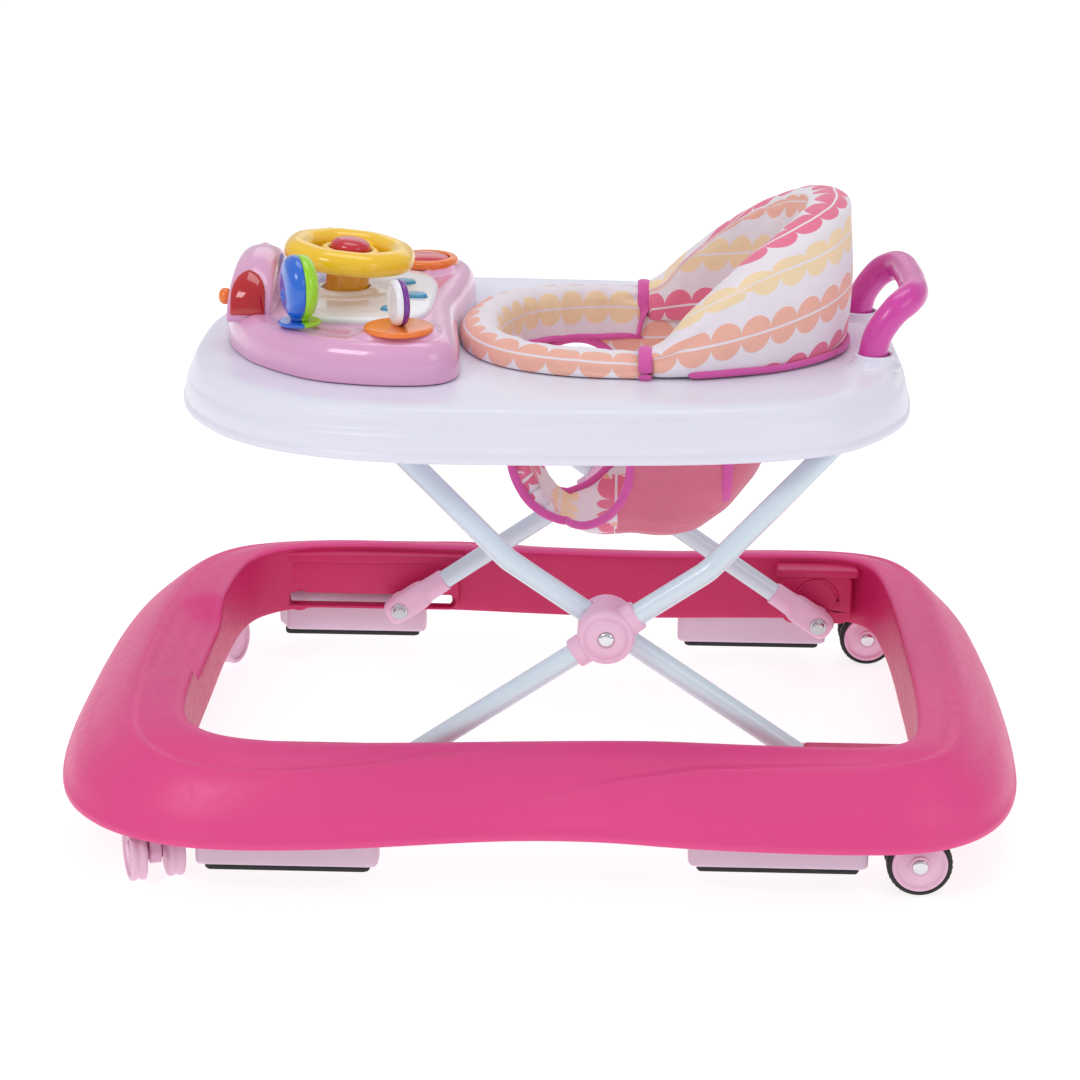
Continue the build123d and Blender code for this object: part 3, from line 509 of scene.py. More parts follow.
def base_skin():
    rows = []
    n = 1.62
    SL = np.concatenate([np.linspace(0, 0.08, 4)[1:], np.linspace(0.08, 0.96, 34)[1:]])
    for i in range(NA):
        c, r = crest[i], rim[i]
        out = (r - c)
        L = np.linalg.norm(out)
        o = out / L
        x, y = r
        dip = 0.016 * (1 - smoothstep(0.078, 0.112, abs(y))) * (1 if c[0] < -0.2 else 0)
        lift = 0.0028 * math.exp(-((x - 0.01) / 0.10) ** 2) * (1 if abs(y) > 0.2 else 0)
        zc = 0.100
        prof = []

        def put(d, z):
            # d is the distance outward from the inner wall
            zz_ = z - (dip * (1 - smoothstep(0.012, 0.046, d)) if z > 0.07 else 0)
            prof.append((c[0] + o[0] * d, c[1] + o[1] * d, zz_))
        put(0.0030, 0.043); put(0.0016, 0.0412); put(0.0002, 0.043)
        for z in np.linspace(0.050, 0.092, 5):
            put(0.0, z)
        put(0.0003, 0.0958); put(0.0014, 0.0984); put(0.0036, 0.0997)
        d0, d1 = 0.007, L - 0.0030
        f, fs, rr, rs = swoosh(x, y)
        for s in SL:
            cz = (1 - s ** n) ** (1 / n)
            d = d0 + (d1 - d0) * s
            z = 0.049 + (zc - 0.049) * cz
            step = 0.0
            if fs > 0:
                step += 0.0034 * fs * (smoothstep(-0.030, 0.012, s - f) - smoothstep(0.05, 0.42, s - f))
            if rs > 0:
                step += 0.0034 * rs * (smoothstep(-0.030, 0.012, s - rr) - smoothstep(0.05, 0.42, s - rr)) * (1 - smoothstep(0.7, 0.95, rr) * 0.6)
            # push along the local normal, mostly outward low down and upward near the crest
            nz = cz
            put(d + step * 0.75 * (1 - 0.4 * nz), z + step * (0.35 + 0.5 * nz) + lift * s)
        for d, z in ((L - 0.0020, 0.0497), (L - 0.0006, 0.0484), (L, 0.0462), (L - 0.0002, 0.0436), (L - 0.0016, 0.0415),
                     (L - 0.0038, 0.0412), (L - 0.0054, 0.0430), (L - 0.0056, 0.0470)):
            prof.append((c[0] + o[0] * d, c[1] + o[1] * d, z + lift))
        for s in np.linspace(0.93, 0.06, 12):
            cz = (1 - s ** n) ** (1 / n)
            d = d0 + (L - 0.0058 - d0) * s
            z = 0.0465 + (zc - 0.0035 - 0.0465) * cz
            zd = dip * (1 - smoothstep(0.012, 0.046, d))
            prof.append((c[0] + o[0] * d, c[1] + o[1] * d, z - zd))
        zt = 0.0965 - dip
        for z in (zt, 0.080, 0.060):
            prof.append((c[0] + o[0] * 0.0030, c[1] + o[1] * 0.0030, min(z, zt)))
        rows.append(prof)
    ob = grid("base_skin", np.array(rows))
    return fix_normals(ob)


base = base_skin()
subsurf(base, 1)
apply_mods(base)


def rounded_plate(name, outline, y0, y1, bevel=0.0015, segs=3, holes=()):
    """Plate in the XZ plane between two y values, with rounded edges and cut-outs given as loops."""
    cu = bpy.data.curves.new(name, "CURVE")
    cu.dimensions = "2D"
    cu.fill_mode = "BOTH"
    for loop in [outline] + list(holes):
        sp = cu.splines.new("POLY")
        sp.points.add(len(loop) - 1)
        for p, (x, z) in zip(sp.points, loop):
            p.co = (x, z, 0, 1)
        sp.use_cyclic_u = True
    th = abs(y1 - y0) / 2
    cu.extrude = th - bevel
    cu.bevel_depth = bevel
    cu.bevel_resolution = segs
    cu.offset = -bevel
    tmp = bpy.data.objects.new(name + "_c", cu)
    bpy.context.scene.collection.objects.link(tmp)
    deps = bpy.context.evaluated_depsgraph_get()
    me = bpy.data.meshes.new_from_object(tmp.evaluated_get(deps))
    bpy.data.objects.remove(tmp)
    me.transform(Matrix(((1, 0, 0, 0), (0, 0, -1, (y0 + y1) / 2), (0, 1, 0, 0), (0, 0, 0, 1))))
    ob = bpy.data.objects.new(name, me)
    bpy.context.scene.collection.objects.link(ob)
    fix_normals(ob)
    for p in ob.data.polygons:
        p.use_smooth = True
    shade_by_angle(ob)
    return ob


def shade_by_angle(ob, deg=35):
    ob.data.set_sharp_from_angle(angle=math.radians(deg))
    return ob


def rrect(x0, x1, z0, z1, r, k=6):
    pts = []
    for cx, cz, a0 in ((x1 - r, z1 - r, 0), (x0 + r, z1 - r, 90), (x0 + r, z0 + r, 180), (x1 - r, z0 + r, 270)):
        for i in range(k + 1):
            a = math.radians(a0 + 90 * i / k)
            pts.append((cx + r * math.cos(a), cz + r * math.sin(a)))
    return pts


def keyhole(xa, xb, z, h, R, k=10):
    """Slot from xa to xb with a round entry of radius R at xa."""
    pts = []
    t = math.asin(h / R)
    for i in range(2 * k + 1):
        a = t + (2 * math.pi - 2 * t) * i / (2 * k)
        pts.append((xa + R * math.cos(a), z + R * math.sin(a)))
    for i in range(k + 1):
        a = -math.pi / 2 + math.pi * i / k
        pts.append((xb + h * math.cos(a), z + h * math.sin(a)))
    return pts


def join(name, obs):
    bm = bmesh.new()
    for o in obs:
        me = o.data
        me.transform(o.matrix_world)
        bm.from_mesh(me)
    me = bpy.data.meshes.new(name)
    bm.to_mesh(me)
    bm.free()
    ob = bpy.data.objects.new(name, me)
    bpy.context.scene.collection.objects.link(ob)
    for o in obs:
        bpy.data.objects.remove(o)
    return ob


# the side walls' slots are cut through the skin, then the guides are set in them
cutters = []
for s in (1, -1):
    c = rounded_plate("slot_cut", rrect(-0.232, -0.086, 0.046, 0.0585, 0.0055), s * 0.207, s * 0.230, bevel=0.0002, segs=1)
    cutters.append(c)
    c = rounded_plate("pin_cut", rrect(0.2215, 0.2325, 0.0465, 0.0575, 0.0054), s * 0.186, s * 0.2205, bevel=0.0002, segs=1)
    cutters.append(c)
cutter = join("cutter", cutters)
bo = base.modifiers.new("cut", "BOOLEAN")
bo.object = cutter
bo.solver = "EXACT"
apply_mods(base)
bpy.data.objects.remove(cutter)
shade_by_angle(base, 50)
finish_piece(base, "base", M["base"], "base_pink", "base_shell")
# the upright walls towards the child get a darker copy of the base pink: painted shade for the occlusion inside the
# ring
base.data.materials.append(M["inner"])
for p in base.data.polygons:
    c, n_ = p.center, p.normal
    if abs(n_.z) < 0.35 and c.z < 0.0975 and n_.x * c.x + n_.y * c.y < 0:
        p.material_index = 1

# the slot guides and pivot pads on the inner walls take the same darker copy of the base pink, painted shade
for s, side in ((1, "left"), (-1, "right")):
    g = rounded_plate("slot_guide_" + side, rrect(-0.241, -0.080, 0.0445, 0.0905, 0.008), s * 0.2085, s * 0.2205, bevel=0.0018,
                      holes=[keyhole(-0.2185, -0.0885, 0.052, 0.0056, 0.0086)])
    ledge = rounded_plate("ledge_" + side, rrect(-0.247, -0.074, 0.086, 0.094, 0.0035), s * 0.2065, s * 0.2185, bevel=0.0016)
    g = join("slot_guide_" + side, [g, ledge])
    finish_piece(g, "base", M["inner"], "base_pink")
    p = rounded_plate("pivot_pad_" + side, rrect(0.197, 0.257, 0.0445, 0.0905, 0.010), s * 0.1905, s * 0.2085, bevel=0.002,
                      holes=[keyhole(0.227, 0.2272, 0.052, 0.0050, 0.0053)])
    shelf = rounded_plate("shelf_" + side, rrect(0.192, 0.262, 0.0865, 0.0935, 0.003), s * 0.1885, s * 0.2085, bevel=0.0015)
    arch = tube("arch_" + side, [(0.227 + 0.018 * math.cos(a), s * 0.1900, 0.066 + 0.018 * math.sin(a)) for a in np.linspace(-0.2, math.pi + 0.2, 20)],
                0.0014, sides=8)
    p = join("pivot_pad_" + side, [p, shelf, arch])
    finish_piece(p, "base", M["inner"], "base_pink")

# ================================================================== tray
tray_rim = smooth_loop(polar(TRAY, ANG), 2)


def superloop(x0, x1, hy, r, n):
    """Rounded rectangle sampled at the same angles as ANG, about its own centre."""
    cx = (x0 + x1) / 2
    a, b = (x1 - x0) / 2, hy
    out = []
    for t in ANG:
        ca, sa = math.cos(t), math.sin(t)
        e = n
        rr = (abs(ca / a) ** e + abs(sa / b) ** e) ** (-1 / e)
        out.append((cx + rr * ca, rr * sa))
    return np.array(out)


hole = superloop(-0.040, 0.200, 0.098, 0.08, 2.85)


def tray_skin():
    rows = []
    for i in range(NA):
        r = tray_rim[i]
        nrm = tray_rim[(i + 1) % NA] - tray_rim[i - 1]
        nrm = np.array([-nrm[1], nrm[0]])
        nrm /= np.linalg.norm(nrm)
        h = hole[i]
        x, y = r
        side = smoothstep(0.10, 0.17, abs(y))
        prof = []

        def put(d, z):
            prof.append((r[0] + nrm[0] * d, r[1] + nrm[1] * d, z))
        # inside of the skirt, the rolled lip, the outer wall with its crease, the shoulder
        put(0.0050, 0.3120); put(0.0046, 0.3068); put(0.0032, 0.3046); put(0.0014, 0.3042); put(0.0002, 0.3056)
        put(0.0000, 0.3078); put(0.0008, 0.3098); put(0.0020, 0.3108)
        ck = 0.0022 * (0.35 + 0.65 * side)
        zk = 0.3275 + 0.004 * math.sin(x * 9.0 + 0.4)
        for z in np.linspace(0.3125, 0.3365, 15):
            t = (z - 0.3125) / 0.024
            d = 0.0022 + 0.0075 * t ** 1.7
            step = ck * smoothstep(zk - 0.0018, zk + 0.0012, z) * (1 - smoothstep(zk + 0.002, zk + 0.010, z) * 0.5)
            put(d + step, z)
        for t in np.linspace(0.12, 1, 9):
            q = t * math.pi / 2
            put(0.0105 + 0.0085 * (1 - math.cos(q)) + 0.004 * t, 0.3370 + 0.0050 * math.sin(q))
        edge = np.array(prof[-1][:2])
        for t in np.linspace(0.06, 0.95, 12):
            p = edge + (h - edge) * t
            crown = 0.0
            prof.append((p[0], p[1], 0.3421 - 0.0006 * math.sin(math.pi * t) + crown))
        ed = (h - edge) / np.linalg.norm(h - edge)
        for d, z in ((-0.003, 0.3420), (-0.0012, 0.3415), (-0.0002, 0.3400), (0, 0.336), (0, 0.325), (-0.0002, 0.3212), (-0.0014, 0.3203), (-0.0027, 0.3212), (-0.003, 0.325), (-0.003, 0.3375)):
            prof.append((h[0] + ed[0] * d, h[1] + ed[1] * d, z))
        for t in np.linspace(0.9, 0.03, 8):
            p = edge + (h - edge) * t
            prof.append((p[0], p[1], 0.3388))
        for z, d in ((0.3365, 0.0165), (0.332, 0.0130), (0.325, 0.0092), (0.318, 0.0066)):
            put(d, z)
        rows.append(prof)
    return fix_normals(grid("tray_skin", np.array(rows)))


tray = tray_skin()
subsurf(tray, 1)
apply_mods(tray)
socks = []
for s in (1, -1):
    k = lathe("sock", turned([(0.0117, -0.0045), (0.0117, 0.006), (0.0119, 0.0078), (0.0128, 0.0084), (0.0142, 0.0078), (0.0150, 0.005), (0.0168, 0.0015), (0.0195, -0.0002), (0.0195, -0.0024)], 4),
              (0.241, s * 0.067, 0.342), (0, 0, 1), sides=40)
    socks.append(k)
tray = join("tray_skin", [tray] + socks)
for p in tray.data.polygons:
    p.use_smooth = True
finish_piece(tray, "tray", M["tray"], "tray_white", "tray_shell")

# push handle: a broad loop of soft oval section
hp = catmull([(0.2405, -0.0670, 0.3425), (0.2405, -0.0670, 0.352), (0.2440, -0.0665, 0.366), (0.2545, -0.0640, 0.381), (0.2650, -0.0560, 0.3885), (0.2700, -0.042, 0.3905),
              (0.2715, -0.020, 0.3905), (0.2720, 0, 0.3905), (0.2715, 0.020, 0.3905), (0.2700, 0.042, 0.3905), (0.2650, 0.0560, 0.3885), (0.2545, 0.0640, 0.381),
              (0.2440, 0.0665, 0.366), (0.2405, 0.0670, 0.352), (0.2405, 0.0670, 0.3425)], 8)
handle = tube("push_loop", hp, 0.0112, 0.0106, ref=(1, 0, 0.6), sides=32)
subsurf(handle, 1)
apply_mods(handle)
finish_piece(handle, "tray", M["handle"], "magenta_plastic", "push_handle")

# ================================================================== seat fabric
def resample(path, step):
    path = np.asarray(path, float)
    seg = np.linalg.norm(np.diff(path, axis=0), axis=1)
    s = np.concatenate([[0], np.cumsum(seg)])
    n = max(2, int(round(s[-1] / step)))
    q = np.linspace(0, s[-1], n + 1)
    return np.stack([np.interp(q, s, path[:, k]) for k in range(path.shape[1])], 1), q


def plan_normals(p):
    t = np.gradient(p, axis=0)
    t /= np.linalg.norm(t, axis=1)[:, None]
    return np.stack([t[:, 1], -t[:, 0]], 1)


def noise1(x, seed):
    """Smooth repeatable wobble."""
    rng = np.random.RandomState(seed)
    out = np.zeros_like(x)
    for k, amp in ((1.0, 1.0), (2.1, 0.6), (4.3, 0.35), (7.9, 0.2)):
        out += amp * np.sin(x * k + rng.rand() * 6.283)
    return out / 2.15


def cloth_puff(ob, pressure, cap, frames=16, pin=None):
    """Pads out a closed fabric shape with a short cloth simulation, its points held within cap of where they began."""
    start = np.array([v.co for v in ob.data.vertices])
    c = ob.modifiers.new("cloth", "CLOTH")
    st = c.settings
    st.quality = 5
    st.mass = 0.15
    st.tension_stiffness = 30
    st.compression_stiffness = 12
    st.shear_stiffness = 8
    st.bending_stiffness = 0.4
    st.use_pressure = True
    st.uniform_pressure_force = pressure
    st.effector_weights.gravity = 0.0
    c.collision_settings.use_collision = False
    c.point_cache.frame_start = 1
    c.point_cache.frame_end = frames
    if pin is not None:
        g = ob.vertex_groups.new(name="pin")
        for i, w in enumerate(pin):
            g.add([i], float(w), "REPLACE")
        st.vertex_group_mass = "pin"
        st.pin_stiffness = 1.0
    sc = bpy.context.scene
    for f in range(1, frames + 1):
        sc.frame_set(f)
    deps = bpy.context.evaluated_depsgraph_get()
    ev = ob.evaluated_get(deps).to_mesh()
    co = np.array([v.co for v in ev.vertices])
    ob.evaluated_get(deps).to_mesh_clear()
    ob.modifiers.clear()
    d = co - start
    L = np.linalg.norm(d, axis=1)
    k = np.minimum(1.0, cap / np.maximum(L, 1e-9))
    out = start + d * k[:, None]
    for v, p in zip(ob.data.vertices, out):
        v.co = p
    sc.frame_set(1)
    return ob


# ---- padded ring round the front of the opening
XB = 0.0725                      # where the ring meets the seat back
ctl = [(XB, -0.1060), (0.055, -0.1058), (0.038, -0.1048), (0.018, -0.1010), (-0.002, -0.0935), (-0.019, -0.0825), (-0.033, -0.0665), (-0.0425, -0.0460), (-0.0480, -0.0235),
       (-0.0497, 0.0), (-0.0480, 0.0235), (-0.0425, 0.0460), (-0.033, 0.0665), (-0.019, 0.0825), (-0.002, 0.0935), (0.018, 0.1010), (0.038, 0.1048), (0.055, 0.1058), (XB, 0.1060)]
ring_path, ring_s = resample(catmull(ctl, 10), 0.0042)
ring_n = -plan_normals(ring_path)      # outward
if (ring_path[len(ring_path) // 2] + ring_n[len(ring_path) // 2] * 0.01)[0] > ring_path[len(ring_path) // 2][0]:
    ring_n = -ring_n
sec = catmull([(0.0145, 0.3426), (0.0162, 0.3450), (0.0160, 0.3490), (0.0138, 0.3540), (0.0088, 0.3580), (0.0020, 0.3600), (-0.0050, 0.3595), (-0.0108, 0.3560),
               (-0.0140, 0.3500), (-0.0152, 0.3420), (-0.0156, 0.3320), (-0.0160, 0.3215), (-0.0152, 0.3196), (-0.0143, 0.3215), (-0.0140, 0.3320), (-0.0136, 0.3425), (-0.0080, 0.3432), (0.004, 0.3427)], 3, closed=True)
sec_len = np.concatenate([[0], np.cumsum(np.linalg.norm(np.roll(sec, -1, axis=0) - sec, axis=1))])
rows = []
g1 = noise1(ring_s * 95, 3)
g2 = noise1(ring_s * 210, 8)
for i, (p, n) in enumerate(zip(ring_path, ring_n)):
    row = []
    end = min(1.0, min(ring_s[i], ring_s[-1] - ring_s[i]) / 0.018)
    tight = 0.90 + 0.10 * math.sin(end * math.pi / 2)
    for j, (a, z) in enumerate(sec):
        top = smoothstep(0.349, 0.359, z)
        inner = smoothstep(0.0, -0.012, a) * (0.55 + 0.45 * smoothstep(0.322, 0.350, z))
        gather = 0.0010 * g1[i] * (0.4 + 1.5 * inner) + 0.0007 * g2[i] * (0.5 + 1.2 * inner)
        cz = 0.3428 + (z - 0.3428) * (tight if z > 0.3428 else 1.0)
        q = (a - gather * (1 if a < 0 else -0.6)) if (z > 0.344 or a < -0.0125) else a
        row.append((p[0] + n[0] * q, p[1] + n[1] * q, cz + gather * top * 0.8))
    rows.append(row)
V = np.array(rows)
ni, nj = V.shape[:2]
uv = np.zeros((ni, nj + 1, 2))
uv[:, :, 0] = ring_s[:, None]
uv[:, :, 1] = sec_len[None, :] + 0.006
ring = cap_ends(grid("seat_ring_pad", V, close_i=False, uv=uv))
pin = [1.0 if (v.co.z < 0.3455) else 0.0 for v in ring.data.vertices]
cloth_puff(ring, 3.0, 0.0022, 14, pin)
subsurf(ring, 1)
apply_mods(ring)
finish_piece(ring, "tray", M["print"], "printed_fabric", "seat_ring")

# ---- high wrapped back
back_ctl = [(0.0755, 0.1050), (0.088, 0.1046), (0.104, 0.1025), (0.124, 0.0970), (0.143, 0.0895), (0.161, 0.0795), (0.178, 0.0665), (0.192, 0.0510), (0.202, 0.0335), (0.2075, 0.0165), (0.2090, 0.0)]
back_ctl = back_ctl + [(x, -y) for x, y in back_ctl[-2::-1]]
back_path, back_s = resample(catmull(back_ctl, 10), 0.0050)
back_n = plan_normals(back_path)
mid = len(back_path) // 2
if (back_path[mid] + back_n[mid] * 0.01)[0] < back_path[mid][0]:
    back_n = -back_n
half = back_s[-1] / 2


def back_height(x):
    return float(np.interp(x, [0.070, 0.082, 0.089, 0.094, 0.099, 0.106, 0.117, 0.132, 0.155, 0.178, 0.195, 0.209, 0.240],
                           [0.3600, 0.3625, 0.3660, 0.3715, 0.3780, 0.3858, 0.3955, 0.4095, 0.4270, 0.4410, 0.4510, 0.4575, 0.4590]))


NV = 15
rows, uvr = [], []
b1, b2 = noise1(back_s * 60, 5), noise1(back_s * 130, 11)
for i, (p, n) in enumerate(zip(back_path, back_n)):
    H = back_height(p[0])
    z0 = 0.3430
    endd = min(back_s[i], back_s[-1] - back_s[i])
    endk = math.sin(min(1.0, (endd + 0.003) / 0.016) * math.pi / 2)
    T = 0.0168 * (0.66 + 0.34 * endk)
    row, ur = [], []
    arc = 0.20 * (half - abs(back_s[i] - half))
    # outer face up to the crown seam, the broad crown, inner face down, under side
    HS = H - min(0.013, 0.35 * (H - z0))
    for k in range(NV):
        t = k / (NV - 1)
        z = z0 + (HS - z0) * t
        puff = 0.0020 * math.sin(math.pi * min(1, t * 1.05)) + 0.0009 * b1[i] * math.sin(math.pi * t) + 0.0006 * b2[i]
        row.append((T * (0.94 + 0.06 * math.sin(math.pi * t)) + puff - (0.002 if k == 0 else 0), z))
        ur.append((back_s[i] * 1.06, z - z0 + 0.004 - arc))
    for k in range(1, 12):
        t = k / 12
        a = T * math.cos(math.pi * t) * 0.98
        z = (HS + (H - HS) * math.sin(math.pi * t) ** 0.75) if t < 0.5 else (H - 0.006 + 0.006 * math.sin(math.pi * t) ** 0.7)
        row.append((a, z + 0.0007 * b2[i]))
        ur.append((back_s[i] * 1.03, z - z0 + 0.004 + 0.040 * t - arc))
    for k in range(NV):
        t = 1 - k / (NV - 1)
        z = z0 - 0.010 + (H - 0.006 - z0 + 0.010) * t
        puff = 0.0026 * math.sin(math.pi * t) + 0.0013 * b1[i] * math.sin(math.pi * t) + 0.0008 * b2[i]
        row.append((-T * 0.95 - puff, z))
        ur.append((back_s[i] * 0.9 + 0.011, -z + 0.020 + 0.045 * 12 + 0.15 * (half - abs(back_s[i] - half))))
    for k in range(1, 4):
        row.append((-T * 0.95 + T * 1.8 * k / 4, z0 + 0.0002))
        ur.append((back_s[i], 0.3))
    rows.append([(p[0] + n[0] * a, p[1] + n[1] * a, z) for a, z in row])
    ur.append(ur[0])
    uvr.append(ur)
back = cap_ends(grid("seat_back_pad", np.array(rows), close_i=False, uv=np.array(uvr)))
pin = [1.0 if (v.co.z < 0.345) else 0.0 for v in back.data.vertices]
cloth_puff(back, 3.5, 0.0028, 16, pin)
subsurf(back, 1)
apply_mods(back)
finish_piece(back, "tray", M["print"], "printed_fabric", "seat_back")


def binding(name, path, r=0.0024, flat=1.0, closed=False, ref=(0, 0, 1), ruffle=0.0):
    path = np.array(path, float)
    if ruffle:
        k = np.arange(len(path))
        path[:, 2] += ruffle * np.sin(k * 0.9) * (0.6 + 0.4 * np.sin(k * 0.31))
    n = len(path)
    ob = tube(name, path, r, r * flat, ref=ref, sides=10, closed=closed)
    me = ob.data
    if not me.uv_layers:
        layer = me.uv_layers.new(name="UVMap")
        for poly in me.polygons:
            for li, vi in zip(poly.loop_indices, poly.vertices):
                c = me.vertices[vi].co
                layer.data[li].uv = (c.x + c.y, c.z)
    subsurf(ob, 1)
    apply_mods(ob)
    return ob


binds = []
# where the ring meets the back, over the ring on each side and down into the seat
for s in (1, -1):
    pts = [(XB + 0.0010 - 0.004 * smoothstep(0.342, 0.322, z), s * (0.1060 + a * 1.05), z + (0.0010 if z > 0.35 else 0.0)) for a, z in sec[:36]]
    binds.append(binding("b", pts, 0.0052, 0.36, ref=(0.0, 0.0, 1.0)))
# the ring's inner lower edge
binds.append(binding("b", [(p[0] - n[0] * 0.0152, p[1] - n[1] * 0.0152, 0.3205) for p, n in zip(ring_path[::2], ring_n[::2])], 0.0036, 0.75, ruffle=0.0009))
# under the back, round the outside
pp = [(p[0] + n[0] * 0.0172, p[1] + n[1] * 0.0172, 0.3455) for p, n in zip(back_path[4:-4:2], back_n[4:-4:2])]
binds.append(binding("b", pp, 0.0028, 1.0, ruffle=0.0004))
seat_binding = join("seat_binding", binds)
for p in seat_binding.data.polygons:
    p.use_smooth = True
finish_piece(seat_binding, "tray", M["binding"], "printed_fabric")

# ---- sling: a bucket of cloth under the tray with two leg openings
LEG = (0.019, 0.2635, 0.0455, 0.0560)         # centre x, z, and half sizes of a leg opening


def bucket(z):
    """Plan half-sizes of the sling at height z."""
    zs = [0.1990, 0.2005, 0.206, 0.220, 0.245, 0.300, 0.341]
    x0 = np.interp(z, zs, [0.036, 0.022, 0.012, 0.000, -0.014, -0.0315, -0.0355])
    x1 = np.interp(z, zs, [0.095, 0.112, 0.126, 0.142, 0.160, 0.187, 0.1950])
    hy = np.interp(z, zs, [0.030, 0.044, 0.054, 0.066, 0.077, 0.0890, 0.0930])
    return x0, x1, hy


NS, NZ = 150, 44
zl = np.concatenate([np.linspace(0.338, 0.215, NZ - 12), np.linspace(0.213, 0.1992, 13)[1:]])
rows, uvr = [], []
for zi, z in enumerate(zl):
    x0, x1, hy = bucket(z)
    cx, ax = (x0 + x1) / 2, (x1 - x0) / 2
    row, ur = [], []
    for k in range(NS):
        t = 2 * math.pi * k / NS
        e = 3.0
        rr = (abs(math.cos(t) / ax) ** e + abs(math.sin(t) / hy) ** e) ** (-1 / e)
        sag = 1.0 + 0.006 * math.sin(7 * t + 20 * z) + 0.005 * math.sin(13 * t - 31 * z)
        row.append((cx + rr * math.cos(t) * sag, rr * math.sin(t) * sag, z - 0.0012 * math.sin(5 * t)))
        ur.append((t * 0.09, 0.341 - z))
    ur.append((2 * math.pi * 0.09, 0.341 - z))
    rows.append(row)
    uvr.append(ur)
# width of the print follows the cloth's own length round the bucket
ref_row = np.array(rows[18] + [rows[18][0]])
cum = np.concatenate([[0], np.cumsum(np.linalg.norm(np.diff(ref_row, axis=0), axis=1))])
uvr = [[(float(cum[k]), v) for k, (u, v) in enumerate(ur)] for ur in uvr]
# close the bottom with shrinking rings
last = np.array(rows[-1])
cen = last.mean(0)
for q in (0.72, 0.45, 0.2, 0.04):
    r_ = cen + (last - cen) * q
    r_[:, 2] = last[:, 2] - 0.0016 * (1 - q)
    rows.append([tuple(v) for v in r_])
    uvr.append([(u, v + 0.05 * (1 - q)) for u, v in uvr[len(zl) - 1]])
sling = grid("seat_sling_cloth", np.array(rows), close_i=False, uv=np.array(uvr))
lay = sling.data.uv_layers[0]
for p in sling.data.polygons:
    if p.center.z < 0.2135:
        for li, vi in zip(p.loop_indices, p.vertices):
            c = sling.data.vertices[vi].co
            lay.data[li].uv = (c.y + 0.3, c.x * 0.9 + 0.05)
bm = bmesh.new()
bm.from_mesh(sling.data)


def leg_f(co):
    return ((co.x - LEG[0]) / LEG[2]) ** 2 + ((co.z - LEG[1]) / LEG[3]) ** 2


kill = [f for f in bm.faces if abs(f.calc_center_median().y) > 0.036 and leg_f(f.calc_center_median()) < 1 and f.calc_center_median().z < 0.343]
bmesh.ops.delete(bm, geom=kill, context="FACES")
loops = []
for v in bm.verts:
    if v.is_boundary and abs(v.co.y) > 0.026 and v.co.z < 0.335 and leg_f(v.co) < 2.4:
        dx, dz = v.co.x - LEG[0], v.co.z - LEG[1]
        k = 1 / math.sqrt(leg_f(v.co))
        v.co.x = LEG[0] + dx * k
        v.co.z = LEG[1] + dz * k
bm.to_mesh(sling.data)
bm.free()
# ordered edges of each opening, for its binding
bm = bmesh.new()
bm.from_mesh(sling.data)
seen, chains = set(), []
bv = [v for v in bm.verts if v.is_boundary]
for v0 in bv:
    if v0.index in seen:
        continue
    chain, v = [], v0
    while v is not None and v.index not in seen:
        seen.add(v.index)
        chain.append(tuple(v.co))
        nxt = [e.other_vert(v) for e in v.link_edges if e.is_boundary and e.other_vert(v).index not in seen]
        v = nxt[0] if nxt else None
    chains.append(chain)
bm.free()
leg_chains = [c for c in chains if min(p[2] for p in c) < 0.32]
sl = sling.modifiers.new("thick", "SOLIDIFY")
sl.thickness = 0.0016
sl.offset = 0.0
apply_mods(sling)
fix_normals(sling)
sling.data.materials.append(M["lining"])
bb = []
for c in leg_chains:
    pc = np.array(c)
    for _ in range(3):
        pc = 0.5 * pc + 0.25 * (np.roll(pc, 1, axis=0) + np.roll(pc, -1, axis=0))
    bb.append(binding("b", pc, 0.0036, 0.8, closed=True, ref=(0, 1, 0.05)))
# a bound seam down the back of each side
for s in (1, -1):
    pts = []
    for z in np.linspace(0.338, 0.232, 30):
        x0, x1, hy = bucket(z)
        xs = 0.139 - 0.004 * (0.341 - z) / 0.14
        q = abs((xs - (x0 + x1) / 2) / ((x1 - x0) / 2))
        pts.append((xs, s * (hy * (1 - q ** 3.0) ** (1 / 3.0) + 0.0026), z))
    bb.append(binding("b", pts, 0.0042, 0.35, ref=(0, 1, 0)))
sling_binding = join("sling_binding", bb)
for p in sling_binding.data.polygons:
    p.use_smooth = True
print("sling area", sum(p.area for p in sling.data.polygons) / 2)
# the front and crotch strap carry the print, the back is plain
sling.data.materials.clear()
sling.data.materials.append(M["lining"])
sling.data.materials.append(M["print"])
for p in sling.data.polygons:
    inward = p.normal.dot(Vector((0.085, 0, 0.30)) - p.center) > 0
    p.material_index = 1 if (inward or p.center.x < 0.055) else 0
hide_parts("seat_sling")
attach(sling, "tray")
finish_piece(sling_binding, "tray", M["binding"], "printed_fabric")
SLING_AREA = sum(p.area for p in sling.data.polygons) / 2
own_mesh(sling)
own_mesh(sling_binding)

# ================================================================== toy tray
TC = (-0.150, 0.0)
toys = smooth_loop(polar(TOYS, ANG, (TC[0] * 1000, 0.0)), 2)
toys = np.stack([-0.062 + (toys[:, 0] + 0.062) * 0.976, toys[:, 1] * 0.962], 1)


